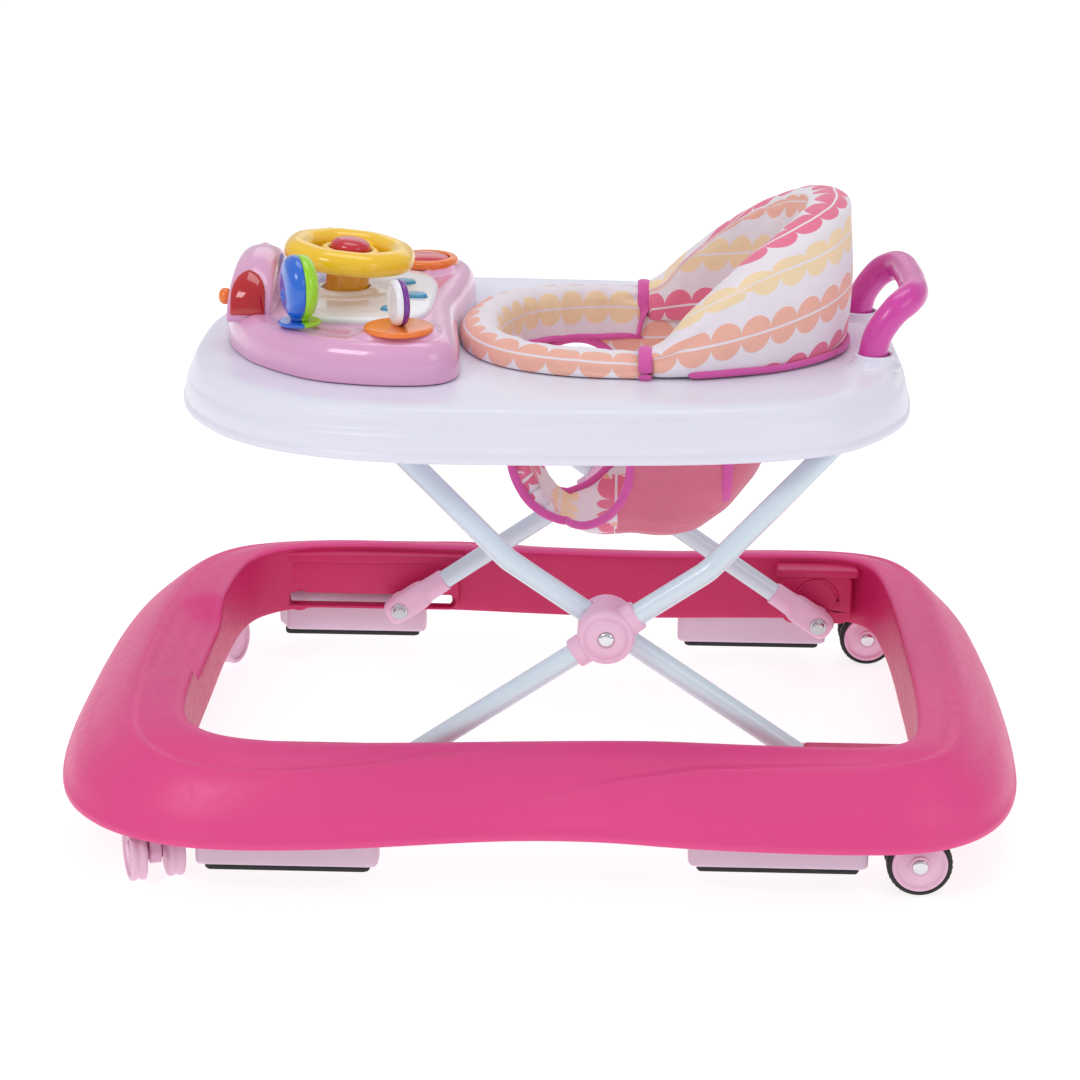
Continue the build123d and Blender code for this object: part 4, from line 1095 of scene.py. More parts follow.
def toy_shell():
    """Body of the toy tray: rounded shoulder, lipped foot, a shallow well, and raised lobes round the toys."""
    TURN, BUT = (-0.103, -0.116), (-0.099, 0.106)
    rows = []
    for i in range(NA):
        r = toys[i]
        n = toys[(i + 1) % NA] - toys[i - 1]
        n = np.array([-n[1], n[0]]) / np.linalg.norm(n)
        prof = []

        def put(d, z):
            prof.append((r[0] + n[0] * d, r[1] + n[1] * d, z))
        put(0.0028, 0.3426); put(0.0012, 0.3424); put(0.0001, 0.3428); put(0.0, 0.3445); put(0.0003, 0.3500)
        for q in np.linspace(0.08, 1, 9):
            a = q * math.pi / 2
            put(0.0006 + 0.0125 * (1 - math.cos(a)), 0.3530 + 0.0186 * math.sin(a))
        edge = np.array([r[0] + n[0] * 0.0131, r[1] + n[1] * 0.0131])
        for t in (0.05, 0.12, 0.2, 0.3, 0.42, 0.55, 0.7, 0.85, 0.97):
            p = edge + (np.array(TC) - edge) * t
            z = 0.3717 - 0.0016 * smoothstep(0.02, 0.14, t)
            for cx, cy in (TURN, BUT):
                q = math.hypot(p[0] - cx, p[1] - cy)
                z += 0.0038 * (1 - smoothstep(0.026, 0.037, q))
            prof.append((p[0], p[1], z))
        rows.append(catmull(prof, 3))
    V = np.array(rows)
    ob = grid("toy_body", V, close_j=False)
    cap_ends(ob)
    return ob


toy = toy_shell()
for p in toy.data.polygons:
    p.use_smooth = True


def lump(name, sections, closed=True):
    """Blended solid through rings of points (each ring the same length)."""
    ob = grid(name, np.array(sections), close_i=False, close_j=True)
    return cap_ends(ob)


# lamp hump: an arch across the front of the toy tray, leaning back a little
secs = []
HX0, HX1 = -0.2362, -0.2012
for k, (dx, sc) in enumerate(((0.0014, 0.66), (0.0016, 0.76), (0.0030, 0.855), (0.0060, 0.925), (0.0110, 0.976), (0.0175, 1.0), (0.0240, 0.976), (0.0290, 0.925), (0.0322, 0.855), (0.0338, 0.76), (0.0342, 0.66))):
    ring_ = []
    for j in range(48):
        a = math.pi * j / 47
        ca_, sa_ = math.cos(a), math.sin(a)
        e = 2 / 2.25
        y = 0.062 * abs(ca_) ** e * (1 if ca_ >= 0 else -1)
        z = 0.042 * abs(sa_) ** e
        ring_.append((HX0 + dx - 0.006 * (1 - z / 0.042) * 0 + 0.002 * z / 0.042, y * (0.965 + 0.035 * sc), 0.366 + z * sc))
    ring_.append((HX0 + dx, -0.050, 0.3600))
    ring_.append((HX0 + dx, 0.050, 0.3600))
    secs.append(ring_)
hump = lump("hump", secs)
subsurf(hump, 1)
apply_mods(hump)
# mound round the column foot and the sunken panel come with the white panel
toy_all = join("toy_tray_body", [toy, hump])
for p in toy_all.data.polygons:
    p.use_smooth = True
finish_piece(toy_all, "play_tray", M["toy"], "toy_pink", "play_tray_shell")

# lamp lenses: domed windows that wrap over each end of the hump
lenses = []
for s in (1, -1):
    nu_, nv_ = 15, 17
    V = np.zeros((nu_, nv_, 3))
    for a_ in range(nu_):
        for b_ in range(nv_):
            p_, q_ = -1 + 2 * a_ / (nu_ - 1), b_ / (nv_ - 1)
            width = 0.0145 * math.sqrt(max(0.0, 1 - max(0.0, (q_ - 0.42) / 0.58) ** 2.2))
            ang_ = math.radians(4 + 46 * q_)
            bulge = 0.0030 * (1 - p_ * p_) ** 0.5 * (0.35 + 0.65 * math.sin(math.pi * min(1, 0.12 + q_ * 0.88)))
            e = 2 / 2.25
            xx = -0.2187 + p_ * width * 0.90
            sc = float(np.interp(xx + 0.2362, [0.0014, 0.0030, 0.0060, 0.0110, 0.0175, 0.0240, 0.0290, 0.0322, 0.0342], [0.76, 0.855, 0.925, 0.976, 1.0, 0.976, 0.925, 0.855, 0.76]))
            y = (0.062 + bulge) * math.cos(ang_) ** e * (0.965 + 0.035 * sc) + 0.0006
            z = (0.042 + bulge) * math.sin(ang_) ** e * sc
            V[a_, b_] = (xx, s * y, 0.3665 + z)
    o = grid("lens", V, close_i=False, close_j=False)
    m_ = o.modifiers.new("t", "SOLIDIFY")
    m_.thickness = 0.0022
    m_.offset = -0.6
    subsurf(o, 1)
    apply_mods(o)
    fix_normals(o)
    lenses.append(o)
lens = join("lamp_lenses_shaped", lenses)
for p in lens.data.polygons:
    p.use_smooth = True
finish_piece(lens, "play_tray", M["lens"], "red_clear", "lamp_lenses")

# white island panel with its softly stepped sides
def island(z_list):
    rows_ = []
    for i in range(NA):
        t = ANG[i]
        row = []
        for ins, z in z_list:
            a, b = 0.0528 - ins, 0.0838 - ins
            e = 3.4
            rr = (abs(math.cos(t) / a) ** e + abs(math.sin(t) / b) ** e) ** (-1 / e)
            row.append((-0.137 + rr * math.cos(t), rr * math.sin(t), z))
        rows_.append(catmull(row, 3))
    ob = grid("island", np.array(rows_), close_j=False)
    return cap_ends(ob)


panel = island([(0.0, 0.3690), (0.0, 0.3712), (0.0006, 0.3728), (0.0024, 0.3742), (0.0060, 0.3750), (0.0100, 0.3754), (0.0135, 0.3757), (0.018, 0.3758), (0.03, 0.3758), (0.045, 0.3757)])
for x, y in ((-0.1106, 0.028), (-0.0987, -0.015), (-0.1117, -0.058)):
    cc = lump("key_hole", [[(x + 0.0096 * math.cos(a), y + 0.0076 * math.sin(a), h) for a in np.linspace(0, 2 * math.pi, 49)[:-1]] for h in (0.3712, 0.3800)])
    bo = panel.modifiers.new("cut", "BOOLEAN")
    bo.operation = "DIFFERENCE"
    bo.solver = "EXACT"
    bo.object = cc
    apply_mods(panel)
    bpy.data.objects.remove(cc)
collar = lathe("collar", turned([(0.0345, 0.0005), (0.0330, 0.0018), (0.0295, 0.0024), (0.0262, 0.0028), (0.0240, 0.0040), (0.0225, 0.0048), (0.0200, 0.0050), (0.0182, 0.0044), (0.0178, 0.0020)], 5),
               (-0.152, 0, 0.3745), (0, 0, 1), sides=64)
panel = join("island_panel", [panel, collar])
for p in panel.data.polygons:
    p.use_smooth = True
shade_by_angle(panel, 50)
finish_piece(panel, "play_tray", M["white"], "white_plastic", "play_tray_panel")

for i, (x, y) in enumerate(((-0.1106, 0.028), (-0.0987, -0.015), (-0.1117, -0.058))):
    secs = []
    for h, k in ((0.3734, 0.98), (0.3737, 1.0), (0.3762, 1.0), (0.3771, 0.985), (0.3777, 0.93), (0.3780, 0.80), (0.3781, 0.55), (0.3781, 0.25)):
        secs.append([(x + 0.0090 * k * math.cos(a), y + 0.0070 * k * math.sin(a), h - 0.0008 * (1 - k) * (k < 0.6)) for a in np.linspace(0, 2 * math.pi, 41)[:-1]])
    kc = lump("key_cap_%d" % (i + 1), secs)
    subsurf(kc, 1)
    apply_mods(kc)
    finish_piece(kc, "key_%d" % (i + 1), M["key"], "blue_plastic", "music_key_%d" % (i + 1))

ring_b = lathe("button_ring_turned", turned([(0.0186, -0.002), (0.0186, 0.0030), (0.0196, 0.0040), (0.0215, 0.0042), (0.0236, 0.0036), (0.0249, 0.0020), (0.0252, 0.0), (0.0252, -0.002)], 5),
               (-0.099, 0.106, 0.3755), (0, 0, 1), sides=64)
finish_piece(ring_b, "play_tray", M["orange"], "orange_plastic", "button_ring")
rb = lathe("round_button_turned", turned([(0.0180, -0.005), (0.0180, 0.0014), (0.0176, 0.0026), (0.0158, 0.0038), (0.0120, 0.0050), (0.0070, 0.0058), (0.0025, 0.0060), (0.0002, 0.0060)], 5),
           (-0.099, 0.106, 0.3755), (0, 0, 1), sides=64)
finish_piece(rb, "round_button", M["red"], "red_plastic", "round_button")

tt = lathe("turntable_turned", turned([(0.0235, -0.0018), (0.0248, -0.0012), (0.0251, 0.0), (0.0249, 0.0012), (0.0238, 0.0022), (0.0215, 0.0026), (0.0120, 0.0026), (0.0050, 0.0026), (0.0002, 0.0026)], 5),
           (-0.103, -0.116, 0.3758), (0, 0, 1), sides=64)
finish_piece(tt, "turntable", M["orange"], "orange_plastic", "turntable")
DX = np.array([math.cos(math.radians(20)), math.sin(math.radians(20)), 0])
for q, nm, mt, sl_ in ((1, "disc_purple", "purple", "purple_plastic"), (-1, "disc_white", "white", "white_plastic")):
    o = lathe(nm + "_turned", turned([(0.0158, 0.0001), (0.0166, 0.0007), (0.0166, 0.0022), (0.0160, 0.0036), (0.0148, 0.0046), (0.0128, 0.0050), (0.0108, 0.0044), (0.0080, 0.0038), (0.0040, 0.0040), (0.0002, 0.0042)], 4),
              (-0.103, -0.116, 0.3946), DX * q, sides=56, x_dir=(0, 0, 1))
    finish_piece(o, "turntable", M[mt], sl_, nm)


def half_rod(name, cx, cy, r, z0, z1, w, k=14, bev=0.0008):
    """Half of an upright bar, split on the spinner's plane."""
    yx = np.array([-DX[1], DX[0], 0])
    rings = []
    for z, rr in ((z0, r - bev), (z0 + bev, r), (z1 - bev, r), (z1, r - bev)):
        rg = []
        for j in range(k + 1):
            a = -math.pi / 2 + math.pi * j / k
            p = np.array([cx, cy, z]) + yx * rr * math.sin(a) + DX * w * (rr * math.cos(a) + 0.00008)
            rg.append(tuple(p))
        rings.append(rg)
    ob = grid(name, np.array(rings), close_i=False, close_j=True)
    return cap_ends(ob)


for q, side in ((1, "left"), (-1, "right")):
    cx, cy = -0.176, q * 0.098
    big = 1.0 if q < 0 else 0.56
    hz = 0.401 if q < 0 else 0.3895
    for w, colour, mt in ((-1, "blue", "blue"), (1, "green", "green")):
        head = lathe("h", turned([(0.0222, 0.0001), (0.0228, 0.0010), (0.0230, 0.0026), (0.0226, 0.0048), (0.0214, 0.0072), (0.0190, 0.0094), (0.0150, 0.0110), (0.0095, 0.0119), (0.0040, 0.0122), (0.0002, 0.0122)], 4) * (big, 1.0),
                     (cx, cy, hz), DX * w, sides=64, x_dir=(0, 0, 1))
        stem = half_rod("s", cx, cy, 0.0066, 0.3765, 0.3830, w)
        foot = half_rod("f", cx, cy, 0.0156, 0.3736, 0.3764, w)
        parts_ = [head, stem, foot]
        if w < 0:
            dimple = lathe("d", turned([(0.0046, 0.0), (0.0046, 0.0006), (0.0040, 0.0011), (0.0032, 0.0009), (0.0026, -0.0002), (0.0018, -0.0016), (0.0002, -0.0020)], 4),
                           np.array([cx, cy, hz - 0.0055 * big]) - DX * 0.0116, -DX, sides=32, x_dir=(0, 0, 1))
            parts_.append(dimple)
        o = join("spinner_half_%s_%s" % (colour, side), parts_)
        for p in o.data.polygons:
            p.use_smooth = True
        shade_by_angle(o, 40)
        finish_piece(o, "spinner_" + side, M[mt], colour + "_plastic", "spinner_%s_%s" % (colour, side))

# steering wheel
tilt = math.radians(6)
wa = np.array([math.sin(tilt), 0, math.cos(tilt)])
wx = np.array([math.cos(tilt), 0, -math.sin(tilt)])
wc = np.array([-0.152, 0, 0.374]) + wa * 0.031
wy = np.array([0.0, 1.0, 0.0])


def wp(u, v, h):
    return wc + wx * u + wy * v + wa * h


rimw = []
K = 72
for i in range(K):
    t = 2 * math.pi * i / K
    # a softly eight-sided rim
    R = 0.0393 + 0.0006 * math.cos(8 * t + math.pi)
    sec_ = []
    for j in range(20):
        a = 2 * math.pi * j / 20
        ra, rb_ = 0.0105, 0.0092
        sec_.append(wp((R + ra * math.cos(a)) * math.cos(t), (R + ra * math.cos(a)) * math.sin(t), rb_ * math.sin(a) - 0.0005 * math.cos(a)))
    rimw.append(sec_)
rim_o = grid("rimw", np.array(rimw))
fix_normals(rim_o)
hub_o = lathe("hubw", turned([(0.0168, -0.0080), (0.0205, -0.0072), (0.0225, -0.0040), (0.0226, 0.0000), (0.0215, 0.0026), (0.0196, 0.0038), (0.0176, 0.0040), (0.0162, 0.0026), (0.0159, 0.0000), (0.0158, -0.0042)], 5), wc, wa, sides=56, x_dir=tuple(wx))
spokes = []
for s in (1, -1):
    secs = []
    for v in np.linspace(0.0180, 0.0405, 9):
        wdt = np.interp(v, [0.012, 0.022, 0.032, 0.0405], [0.0165, 0.0160, 0.0185, 0.0240])
        drop = np.interp(v, [0.012, 0.03, 0.0405], [-0.0010, -0.0005, 0.0])
        sec_ = []
        for a in np.linspace(0, 2 * math.pi, 25)[:-1]:
            e = 2 / 3.2
            cu, su_ = math.cos(a), math.sin(a)
            sec_.append(wp(wdt * abs(cu) ** e * (1 if cu >= 0 else -1), s * v, drop + 0.0052 * abs(su_) ** e * (1 if su_ >= 0 else -1)))
        secs.append(sec_)
    spokes.append(lump("sp", secs))
# the column gets a darker copy of the wheel's yellow: painted shade under the wheel
column = lathe("column", turned([(0.0160, -0.0500), (0.0163, -0.0490), (0.0163, -0.0300), (0.0164, -0.0120), (0.0180, -0.0085), (0.0200, -0.0070)], 4), wc, wa, sides=48, x_dir=tuple(wx))
column.data.materials.append(M["yellow_painted_shade"])
sw = join("wheel_all", [rim_o, hub_o] + spokes)
for p in sw.data.polygons:
    p.use_smooth = True
subsurf(sw, 1)
apply_mods(sw)
finish_piece(sw, "steering_wheel", M["yellow"], "yellow_plastic", "steering_wheel")
column.name = "steering_column"
finish_piece(column, "steering_wheel", M["yellow_painted_shade"], "yellow_plastic")
hb = lathe("horn_turned", turned([(0.0148, 0.0012), (0.0150, 0.0040), (0.0147, 0.0062), (0.0132, 0.0084), (0.0100, 0.0102), (0.0060, 0.0112), (0.0020, 0.0116), (0.0002, 0.0116)], 5), wc, wa, sides=56, x_dir=tuple(wx))
finish_piece(hb, "horn_button", M["red"], "red_plastic", "horn_button")
kb = lathe("front_knob_turned", turned([(0.0030, 0.0050), (0.0030, 0.0002), (0.0045, -0.0002), (0.0058, -0.0014), (0.0062, -0.0036), (0.0058, -0.0058), (0.0044, -0.0076), (0.0022, -0.0085), (0.0002, -0.0087)], 5),
           (-0.2364, -0.024, 0.3755), (1, 0, 0), sides=40)
finish_piece(kb, "front_knob", M["orange"], "orange_plastic", "front_knob")

# ================================================================== hardware
LOW = math.atan2(0.1743 - 0.052, 0.178)
moulded("stop_block_front", "front_stop_block", "base", 0.0022, 3, M["block"])
moulded("side_stop_blocks", "stop_blocks_side", "base", 0.0022, 3, M["block"])
moulded("stop_grip_strips", "grip_strips", "base", 0.0012, 1, M["rubber"])
for s, side in ((1, "left"), (-1, "right")):
    moulded("rear_wheel_bracket_" + side, "wheel_leg_" + side, "base", 0.0010, 3, M["light"])
    yc = s * 0.228
    dd = []
    for q in (1, -1):
        dd.append(lathe("wd", turned([(0.0060, 0.0052), (0.0190, 0.0054), (0.0199, 0.0064), (0.0200, 0.0110), (0.0199, 0.0162), (0.0190, 0.0172), (0.0176, 0.0170), (0.0160, 0.0158),
                                      (0.0140, 0.0160), (0.0110, 0.0170), (0.0090, 0.0176), (0.0082, 0.0180), (0.0078, 0.0188), (0.0070, 0.0190), (0.0056, 0.0186), (0.0031, 0.0186)], 4),
                        (0.2736, yc, 0.0235), (0, q, 0), sides=64, x_dir=(1, 0, 0)))
    d = join("wheel_discs_" + side, dd)
    for p in d.data.polygons:
        p.use_smooth = True
    finish_piece(d, "rear_wheel_" + side, M["light"], "fitting_pink", "rear_wheel_discs_" + side)
    ty = []
    for q in (1, -1):
        rows_ = []
        for i in range(144):
            t = 2 * math.pi * i / 144
            rib = 0.00035 * (1 if i % 4 < 2 else 0)
            row = []
            for r_, h_ in ((0.0199, 0.0062), (0.0215, 0.0060), (0.0228, 0.0068), (0.0234, 0.0082), (0.0235, 0.0115), (0.0234, 0.0148), (0.0228, 0.0162), (0.0215, 0.0170), (0.0199, 0.0168)):
                rr = r_ - (rib if r_ > 0.0230 else 0)
                row.append((0.2736 + rr * math.cos(t), yc + q * h_, 0.0235 + rr * math.sin(t)))
            rows_.append(row)
        ty.append(fix_normals(grid("ty", np.array(rows_))))
    tyo = join("ribbed_tyres_" + side, ty)
    for p in tyo.data.polygons:
        p.use_smooth = True
    finish_piece(tyo, "rear_wheel_" + side, M["rubber"], "black_rubber", "rear_tyres_" + side)
    caps = [lathe("ax", turned([(0.0030, -0.0200), (0.0030, 0.0195)], 4), (0.2736, yc, 0.0235), (0, 1, 0), sides=24)]
    for q in (1, -1):
        caps.append(lathe("axc", turned([(0.0056, 0.0180), (0.0057, 0.0188), (0.0052, 0.0197), (0.0038, 0.0203), (0.0018, 0.0206), (0.0001, 0.0207)], 4), (0.2736, yc, 0.0235), (0, q, 0), sides=32, x_dir=(1, 0, 0)))
    ao = join("wheel_axle_" + side, caps)
    for p in ao.data.polygons:
        p.use_smooth = True
    shade_by_angle(ao, 50)
    finish_piece(ao, "rear_wheel_" + side, M["chrome"], "bright_metal", "rear_axle_" + side)

for s, side in ((1, "left"), (-1, "right")):
    a = math.radians(-20 if side == "left" else 20)
    axd = np.array([math.cos(a), math.sin(a), 0])
    td = np.array([axd[1], -axd[0], 0])
    piv = np.array([-0.279, s * 0.216, 0])
    w = piv + td * 0.022 + np.array([0, 0, 0.021])
    moulded("caster_fork_" + side, "caster_leg_" + side, "caster_" + side, 0.0010, 4, M["light"])
    dd = []
    for q in (1, -1):
        dd.append(lathe("cd", turned([(0.0026, 0.0052), (0.0068, 0.0052), (0.0072, 0.0072), (0.0175, 0.0076), (0.0203, 0.0082), (0.0210, 0.0098), (0.0206, 0.0116), (0.0198, 0.0134), (0.0206, 0.0152), (0.0210, 0.0170), (0.0205, 0.0188),
                                      (0.0190, 0.0195), (0.0172, 0.0190), (0.0160, 0.0176), (0.0120, 0.0168), (0.0085, 0.0170), (0.0075, 0.0186), (0.0062, 0.0193), (0.0026, 0.0193)], 4),
                        w, axd * q, sides=64, x_dir=(0, 0, 1)))
    d = join("caster_discs_" + side, dd)
    for p in d.data.polygons:
        p.use_smooth = True
    finish_piece(d, "caster_wheel_" + side, M["light"], "fitting_pink", "caster_wheels_" + side)
    NODES["caster_axle_" + side].data.materials.clear()
    NODES["caster_axle_" + side].data.materials.append(M["steel"])
    for nm, bd, (fx, fz), sg, yl in (("pivot_foot_" + side, "leg_a", (0.227, 0.052), -1, 0.174), ("slide_foot_" + side, "leg_b", (-0.129, 0.052), 1, 0.192)):
        along = np.array([sg * math.cos(LOW), 0, math.sin(LOW)])
        across = np.array([-along[2], 0, along[0]])
        out_y = np.array([0.0, float(s), 0.0])
        org = np.array([fx, s * yl, fz])
        secs = []
        for t, k, e in ((-0.0128, 0.55, 2.6), (-0.0118, 0.76, 3.0), (-0.0090, 0.92, 3.6), (-0.0040, 0.99, 4.0), (0.0060, 1.0, 4.4), (0.0160, 1.0, 4.4), (0.0215, 0.99, 4.2), (0.0245, 0.95, 3.6),
                        (0.0262, 0.90, 3.0), (0.0275, 0.885, 2.4), (0.0330, 0.88, 2.1), (0.0420, 0.87, 2.0), (0.0455, 0.865, 2.0), (0.0464, 0.84, 2.0), (0.0468, 0.78, 2.0)):
            sec_ = []
            for q in range(40):
                a_ = 2 * math.pi * q / 40
                cu, su_ = math.cos(a_), math.sin(a_)
                hw = 0.0110 * k
                sec_.append(org + along * t + across * hw * abs(cu) ** (2 / e) * (1 if cu >= 0 else -1) + out_y * hw * abs(su_) ** (2 / e) * (1 if su_ >= 0 else -1))
            secs.append(sec_)
        body_ = lump("clip", secs)
        subsurf(body_, 1)
        apply_mods(body_)
        boss = lathe("boss", turned([(0.0102, 0.0090), (0.0100, 0.0140), (0.0095, 0.0152), (0.0080, 0.0156), (0.0002, 0.0156)], 4), org, (0, s, 0), sides=40, x_dir=(1, 0, 0))
        cl = join(nm + "_clip", [body_, boss])
        for p in cl.data.polygons:
            p.use_smooth = True
        finish_piece(cl, bd, M["light"], "fitting_pink", nm)

# scissor hubs, turned with a raised cross-shaped boss and arms along the tube
for s, side in ((1, "left"), (-1, "right")):
    cap_ = lathe("cap", turned([(0.0196, 0.1836), (0.0205, 0.1842), (0.0206, 0.1900), (0.0206, 0.1955), (0.0200, 0.1992), (0.0184, 0.2013), (0.0165, 0.2019), (0.0157, 0.2013), (0.0149, 0.2016), (0.0136, 0.2030),
                                 (0.0110, 0.2041), (0.0080, 0.2045), (0.0062, 0.2044), (0.0052, 0.2036)], 5), (0.049, 0, 0.1743), (0, s, 0), sides=72, x_dir=(1, 0, 0))
    along = np.array([math.cos(LOW), 0, math.sin(LOW)])
    across = np.array([-along[2], 0, along[0]])
    org = np.array([0.049, s * 0.192, 0.1743])
    secs = []
    for t, k in ((-0.0272, 0.90), (-0.0268, 0.97), (-0.0258, 1.0), (-0.0200, 1.02), (-0.0100, 1.04), (0.0, 1.04), (0.0100, 1.04), (0.0200, 1.02), (0.0258, 1.0), (0.0268, 0.97), (0.0272, 0.90)):
        sec_ = []
        for q in range(40):
            a_ = 2 * math.pi * q / 40
            cu, su_ = math.cos(a_), math.sin(a_)
            sec_.append(org + along * t + across * 0.0110 * k * abs(cu) ** 0.85 * (1 if cu >= 0 else -1) + np.array([0, 0.0083 * min(k, 1.0) * abs(su_) ** 0.85 * (1 if su_ >= 0 else -1), 0]))
        secs.append(sec_)
    sleeve = lump("sleeve", secs)
    hubo = join("hub_outer_" + side, [cap_, sleeve])
    for p in hubo.data.polygons:
        p.use_smooth = True
    finish_piece(hubo, "leg_b", M["light"], "fitting_pink", "hub_outer_cap_" + side)
moulded("hub_inner_caps", "hub_inner", "leg_a", 0.0012, 6, M["light"])
rv = []
for s in (1, -1):
    rv.append(lathe("rv", turned([(0.0030, 0.161), (0.0030, 0.2047)], 4), (0.049, 0, 0.1743), (0, s, 0), sides=24, x_dir=(1, 0, 0)))
    rv.append(lathe("rv", turned([(0.0050, 0.2040), (0.0056, 0.2046), (0.0055, 0.2051), (0.0047, 0.2058), (0.0034, 0.2063), (0.0016, 0.2065), (0.0001, 0.2065)], 4), (0.049, 0, 0.1743), (0, s, 0), sides=32, x_dir=(1, 0, 0)))
    rv.append(lathe("rv", turned([(0.0050, -0.1642), (0.0055, -0.1634), (0.0053, -0.1626), (0.0044, -0.1616), (0.0030, -0.1611), (0.0001, -0.1610)], 4), (0.049, 0, 0.1743), (0, -s, 0), sides=32, x_dir=(1, 0, 0)))
rvo = join("hub_rivets_domed", rv)
for p in rvo.data.polygons:
    p.use_smooth = True
shade_by_angle(rvo, 50)
finish_piece(rvo, "leg_a", M["chrome"], "bright_metal", "hub_rivets")

# screws in the feet: washer-faced pan heads with a cross recess
for nm, bd, (fx, fz), yl, ye in (("pivot_foot_pins", "leg_a", (0.227, 0.052), 0.174, 0.213), ("slide_foot_pins", "leg_b", (-0.129, 0.052), 0.192, 0.2255)):
    ps = []
    for s in (1, -1):
        y0 = yl - 0.011
        ps.append(lathe("pn", turned([(0.0050, y0), (0.0050, ye)], 3), (fx, 0, fz), (0, s, 0), sides=32, x_dir=(1, 0, 0)))
        ps.append(lathe("pw", turned([(0.0070, -y0), (0.0071, -y0 + 0.0006), (0.0066, -y0 + 0.0010), (0.0052, -y0 + 0.0012), (0.0049, -y0 + 0.0020), (0.0042, -y0 + 0.0027), (0.0026, -y0 + 0.0030), (0.0001, -y0 + 0.0031)], 4),
                        (fx, 0, fz), (0, -s, 0), sides=32, x_dir=(1, 0, 0)))
        if bd == "leg_b":
            ps.append(lathe("ph", [(0.0001, 0.2230), (0.0070, 0.2230), (0.0075, 0.2235), (0.0075, 0.2250), (0.0070, 0.2255), (0.0001, 0.2255)], (fx, 0, fz), (0, s, 0), sides=32, x_dir=(1, 0, 0)))
        for k in (0, 1):
            c_, s_ = math.cos(0.5 + k * math.pi / 2), math.sin(0.5 + k * math.pi / 2)
            L_, W_ = 0.0026, 0.00045
            y_ = s * (y0 - 0.00305)
            v_ = [(fx + c_ * a_ - s_ * b_, y_, fz + s_ * a_ + c_ * b_) for a_, b_ in ((-L_, -W_), (L_, -W_), (L_, W_), (-L_, W_))]
            v2 = [(x_, y_ + s * 0.0008, z_) for x_, _, z_ in v_]
            cr = new_object("cr", v_ + v2, [[0, 1, 2, 3], [7, 6, 5, 4], [0, 4, 5, 1], [1, 5, 6, 2], [2, 6, 7, 3], [3, 7, 4, 0]])
            fix_normals(cr)
            ps.append(cr)
    po = join(nm + "_turned", ps)
    for p in po.data.polygons:
        p.use_smooth = True
    shade_by_angle(po, 45)
    finish_piece(po, bd, M["steel"], "bright_metal", nm)

# bent tubes, swept smooth, open at their lower ends inside the feet
def leg_path(foot, sgn, yl):
    a = LOW
    d = np.array([sgn * math.cos(a), math.sin(a)])
    f = np.array(foot)
    sb = math.hypot(0.178, 0.1743 - 0.052) + 0.086
    bend = f + d * sb
    up = (0.312 - bend[1]) / math.sin(math.radians(43))
    top = bend + np.array([sgn * math.cos(math.radians(43)), math.sin(math.radians(43))]) * up
    st = f - d * 0.006
    pts = [np.array([st[0], -yl, st[1]]), np.array([bend[0], -yl, bend[1]]), np.array([top[0], -0.150, top[1]]),
           np.array([top[0], 0.150, top[1]]), np.array([bend[0], yl, bend[1]]), np.array([st[0], yl, st[1]])]
    out = [pts[0]]
    for i in range(1, len(pts) - 1):
        p, q, r = pts[i - 1], pts[i], pts[i + 1]
        u, v = (p - q) / np.linalg.norm(p - q), (r - q) / np.linalg.norm(r - q)
        th = math.acos(np.clip(-u.dot(v), -1, 1))
        R = 0.030
        t = R * math.tan(th / 2)
        a_, b_ = q + u * t, q + v * t
        n_ = max(4, int(math.degrees(th) / 6))
        bis = (u + v) / np.linalg.norm(u + v)
        cen_ = q + bis * (R / math.cos(th / 2))
        for k in range(n_ + 1):
            w_ = k / n_
            m_ = a_ * (1 - w_) + b_ * w_
            dirv = (m_ - cen_) / np.linalg.norm(m_ - cen_)
            out.append(cen_ + dirv * R)
    out.append(pts[-1])
    return np.array(out)


for key, foot, sgn, yl in (("a", (0.227, 0.052), -1, 0.174), ("b", (-0.129, 0.052), 1, 0.192)):
    lp = leg_path(foot, sgn, yl)
    dense = [lp[0]]
    for i in range(1, len(lp)):
        k = max(1, int(np.linalg.norm(lp[i] - lp[i - 1]) / 0.02))
        for j in range(1, k + 1):
            dense.append(lp[i - 1] + (lp[i] - lp[i - 1]) * j / k)
    tb = tube("bent_tube_" + key, np.array(dense), 0.008, ref=(1.0 * sgn, 0.0, -0.6), sides=32)
    finish_piece(tb, "leg_" + key, M["leg"], "leg_paint", "leg_tube_" + key)

# what is hidden underneath keeps its CAD shape with a proper finish
for nm, mt in (("height_racks", "white"), ("rear_hinge_clamps", "white"), ("circuit_board", "board"), ("batteries", "dark"), ("base_screws", "steel")):
    NODES[nm].data.materials.clear()
    NODES[nm].data.materials.append(M[mt])
bm = bmesh.new()
bm.from_mesh(NODES["play_tray_bottom"].data)
for v in bm.verts:
    v.co.x = -0.062 + (v.co.x + 0.062) * 0.972
    v.co.y *= 0.958
me = bpy.data.meshes.new("toy_tray_floor")
bm.to_mesh(me)
bm.free()
toy_floor = bpy.data.objects.new("toy_tray_floor", me)
bpy.context.scene.collection.objects.link(toy_floor)
finish_piece(toy_floor, "play_tray", M["white"], "white_plastic", "play_tray_bottom")


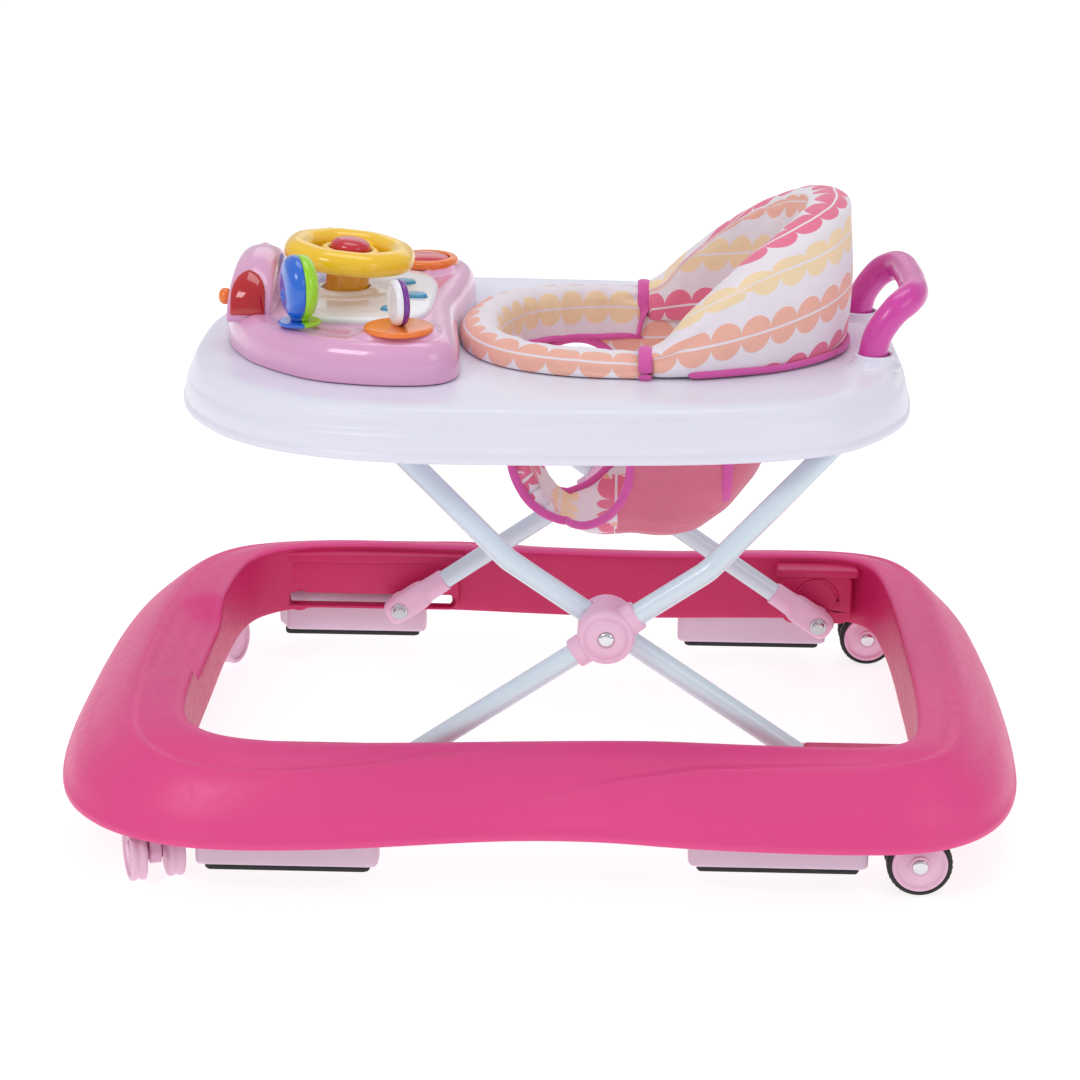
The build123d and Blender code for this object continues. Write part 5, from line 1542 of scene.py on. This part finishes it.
# ------------------------------------------------------------------ camera, light, floor
cam_data = bpy.data.cameras.new("camera")
cam = bpy.data.objects.new("camera", cam_data)
bpy.context.scene.collection.objects.link(cam)
yaw, pitch, roll, focal = 0.0288, 0.3229, 0.0085, 2726.3
fwd0 = Vector((-math.sin(yaw), math.cos(yaw), 0))
right = Vector((math.cos(yaw), math.sin(yaw), 0))
zz = Vector((0, 0, 1))
fwd = fwd0 * math.cos(pitch) - zz * math.sin(pitch)
upv = zz * math.cos(pitch) + fwd0 * math.sin(pitch)
r2 = right * math.cos(roll) + upv * math.sin(roll)
u2 = -right * math.sin(roll) + upv * math.cos(roll)
cam.matrix_world = Matrix(((r2.x, u2.x, -fwd.x, 0.0537), (r2.y, u2.y, -fwd.y, -2.0058),
                           (r2.z, u2.z, -fwd.z, 0.851), (0, 0, 0, 1)))
cam_data.sensor_width = 36.0
cam_data.lens = focal / 1080 * 36.0
cam_data.clip_start = 0.05
cam_data.clip_end = 50
bpy.context.scene.camera = cam

floor = new_object("floor", [(-30, -30, 0), (30, -30, 0), (30, 30, 0), (-30, 30, 0)], [[0, 1, 2, 3]])
floor_mat = plastic("floor_paint", (0.36, 0.36, 0.36, 1), rough=0.5, grain=0.0, vary=0.003)
floor_bsdf = floor_mat.node_tree.nodes["Principled BSDF"]
floor_bsdf.inputs["Emission Color"].default_value = (1.0, 1.0, 1.0, 1.0)
floor_bsdf.inputs["Emission Strength"].default_value = 0.80
floor.data.materials.append(floor_mat)

world = bpy.data.worlds.new("studio")
bpy.context.scene.world = world
world.use_nodes = True
world.node_tree.nodes["Background"].inputs["Color"].default_value = (0.965, 0.975, 1.0, 1)
world.node_tree.nodes["Background"].inputs["Strength"].default_value = 0.60


def area(name, loc, target, size, power, color=(1, 1, 1)):
    d = bpy.data.lights.new(name, "AREA")
    d.shape = "RECTANGLE"
    d.size, d.size_y = size
    d.energy = power
    d.color = color
    o = bpy.data.objects.new(name, d)
    bpy.context.scene.collection.objects.link(o)
    o.location = loc
    o.rotation_euler = (Vector(target) - Vector(loc)).to_track_quat("-Z", "Y").to_euler()
    return o


area("key", (-1.5, -1.9, 2.3), (0, 0, 0.25), (1.1, 0.8), 17)
area("fill", (2.0, -1.5, 1.4), (0, 0, 0.2), (1.0, 1.0), 5)
area("top", (0.1, 0.3, 2.6), (0, 0, 0.2), (1.6, 1.0), 11)
area("back", (0.4, 2.4, 1.6), (0, 0, 0.3), (2.4, 1.2), 5)
bpy.context.scene.view_settings.view_transform = "Standard"
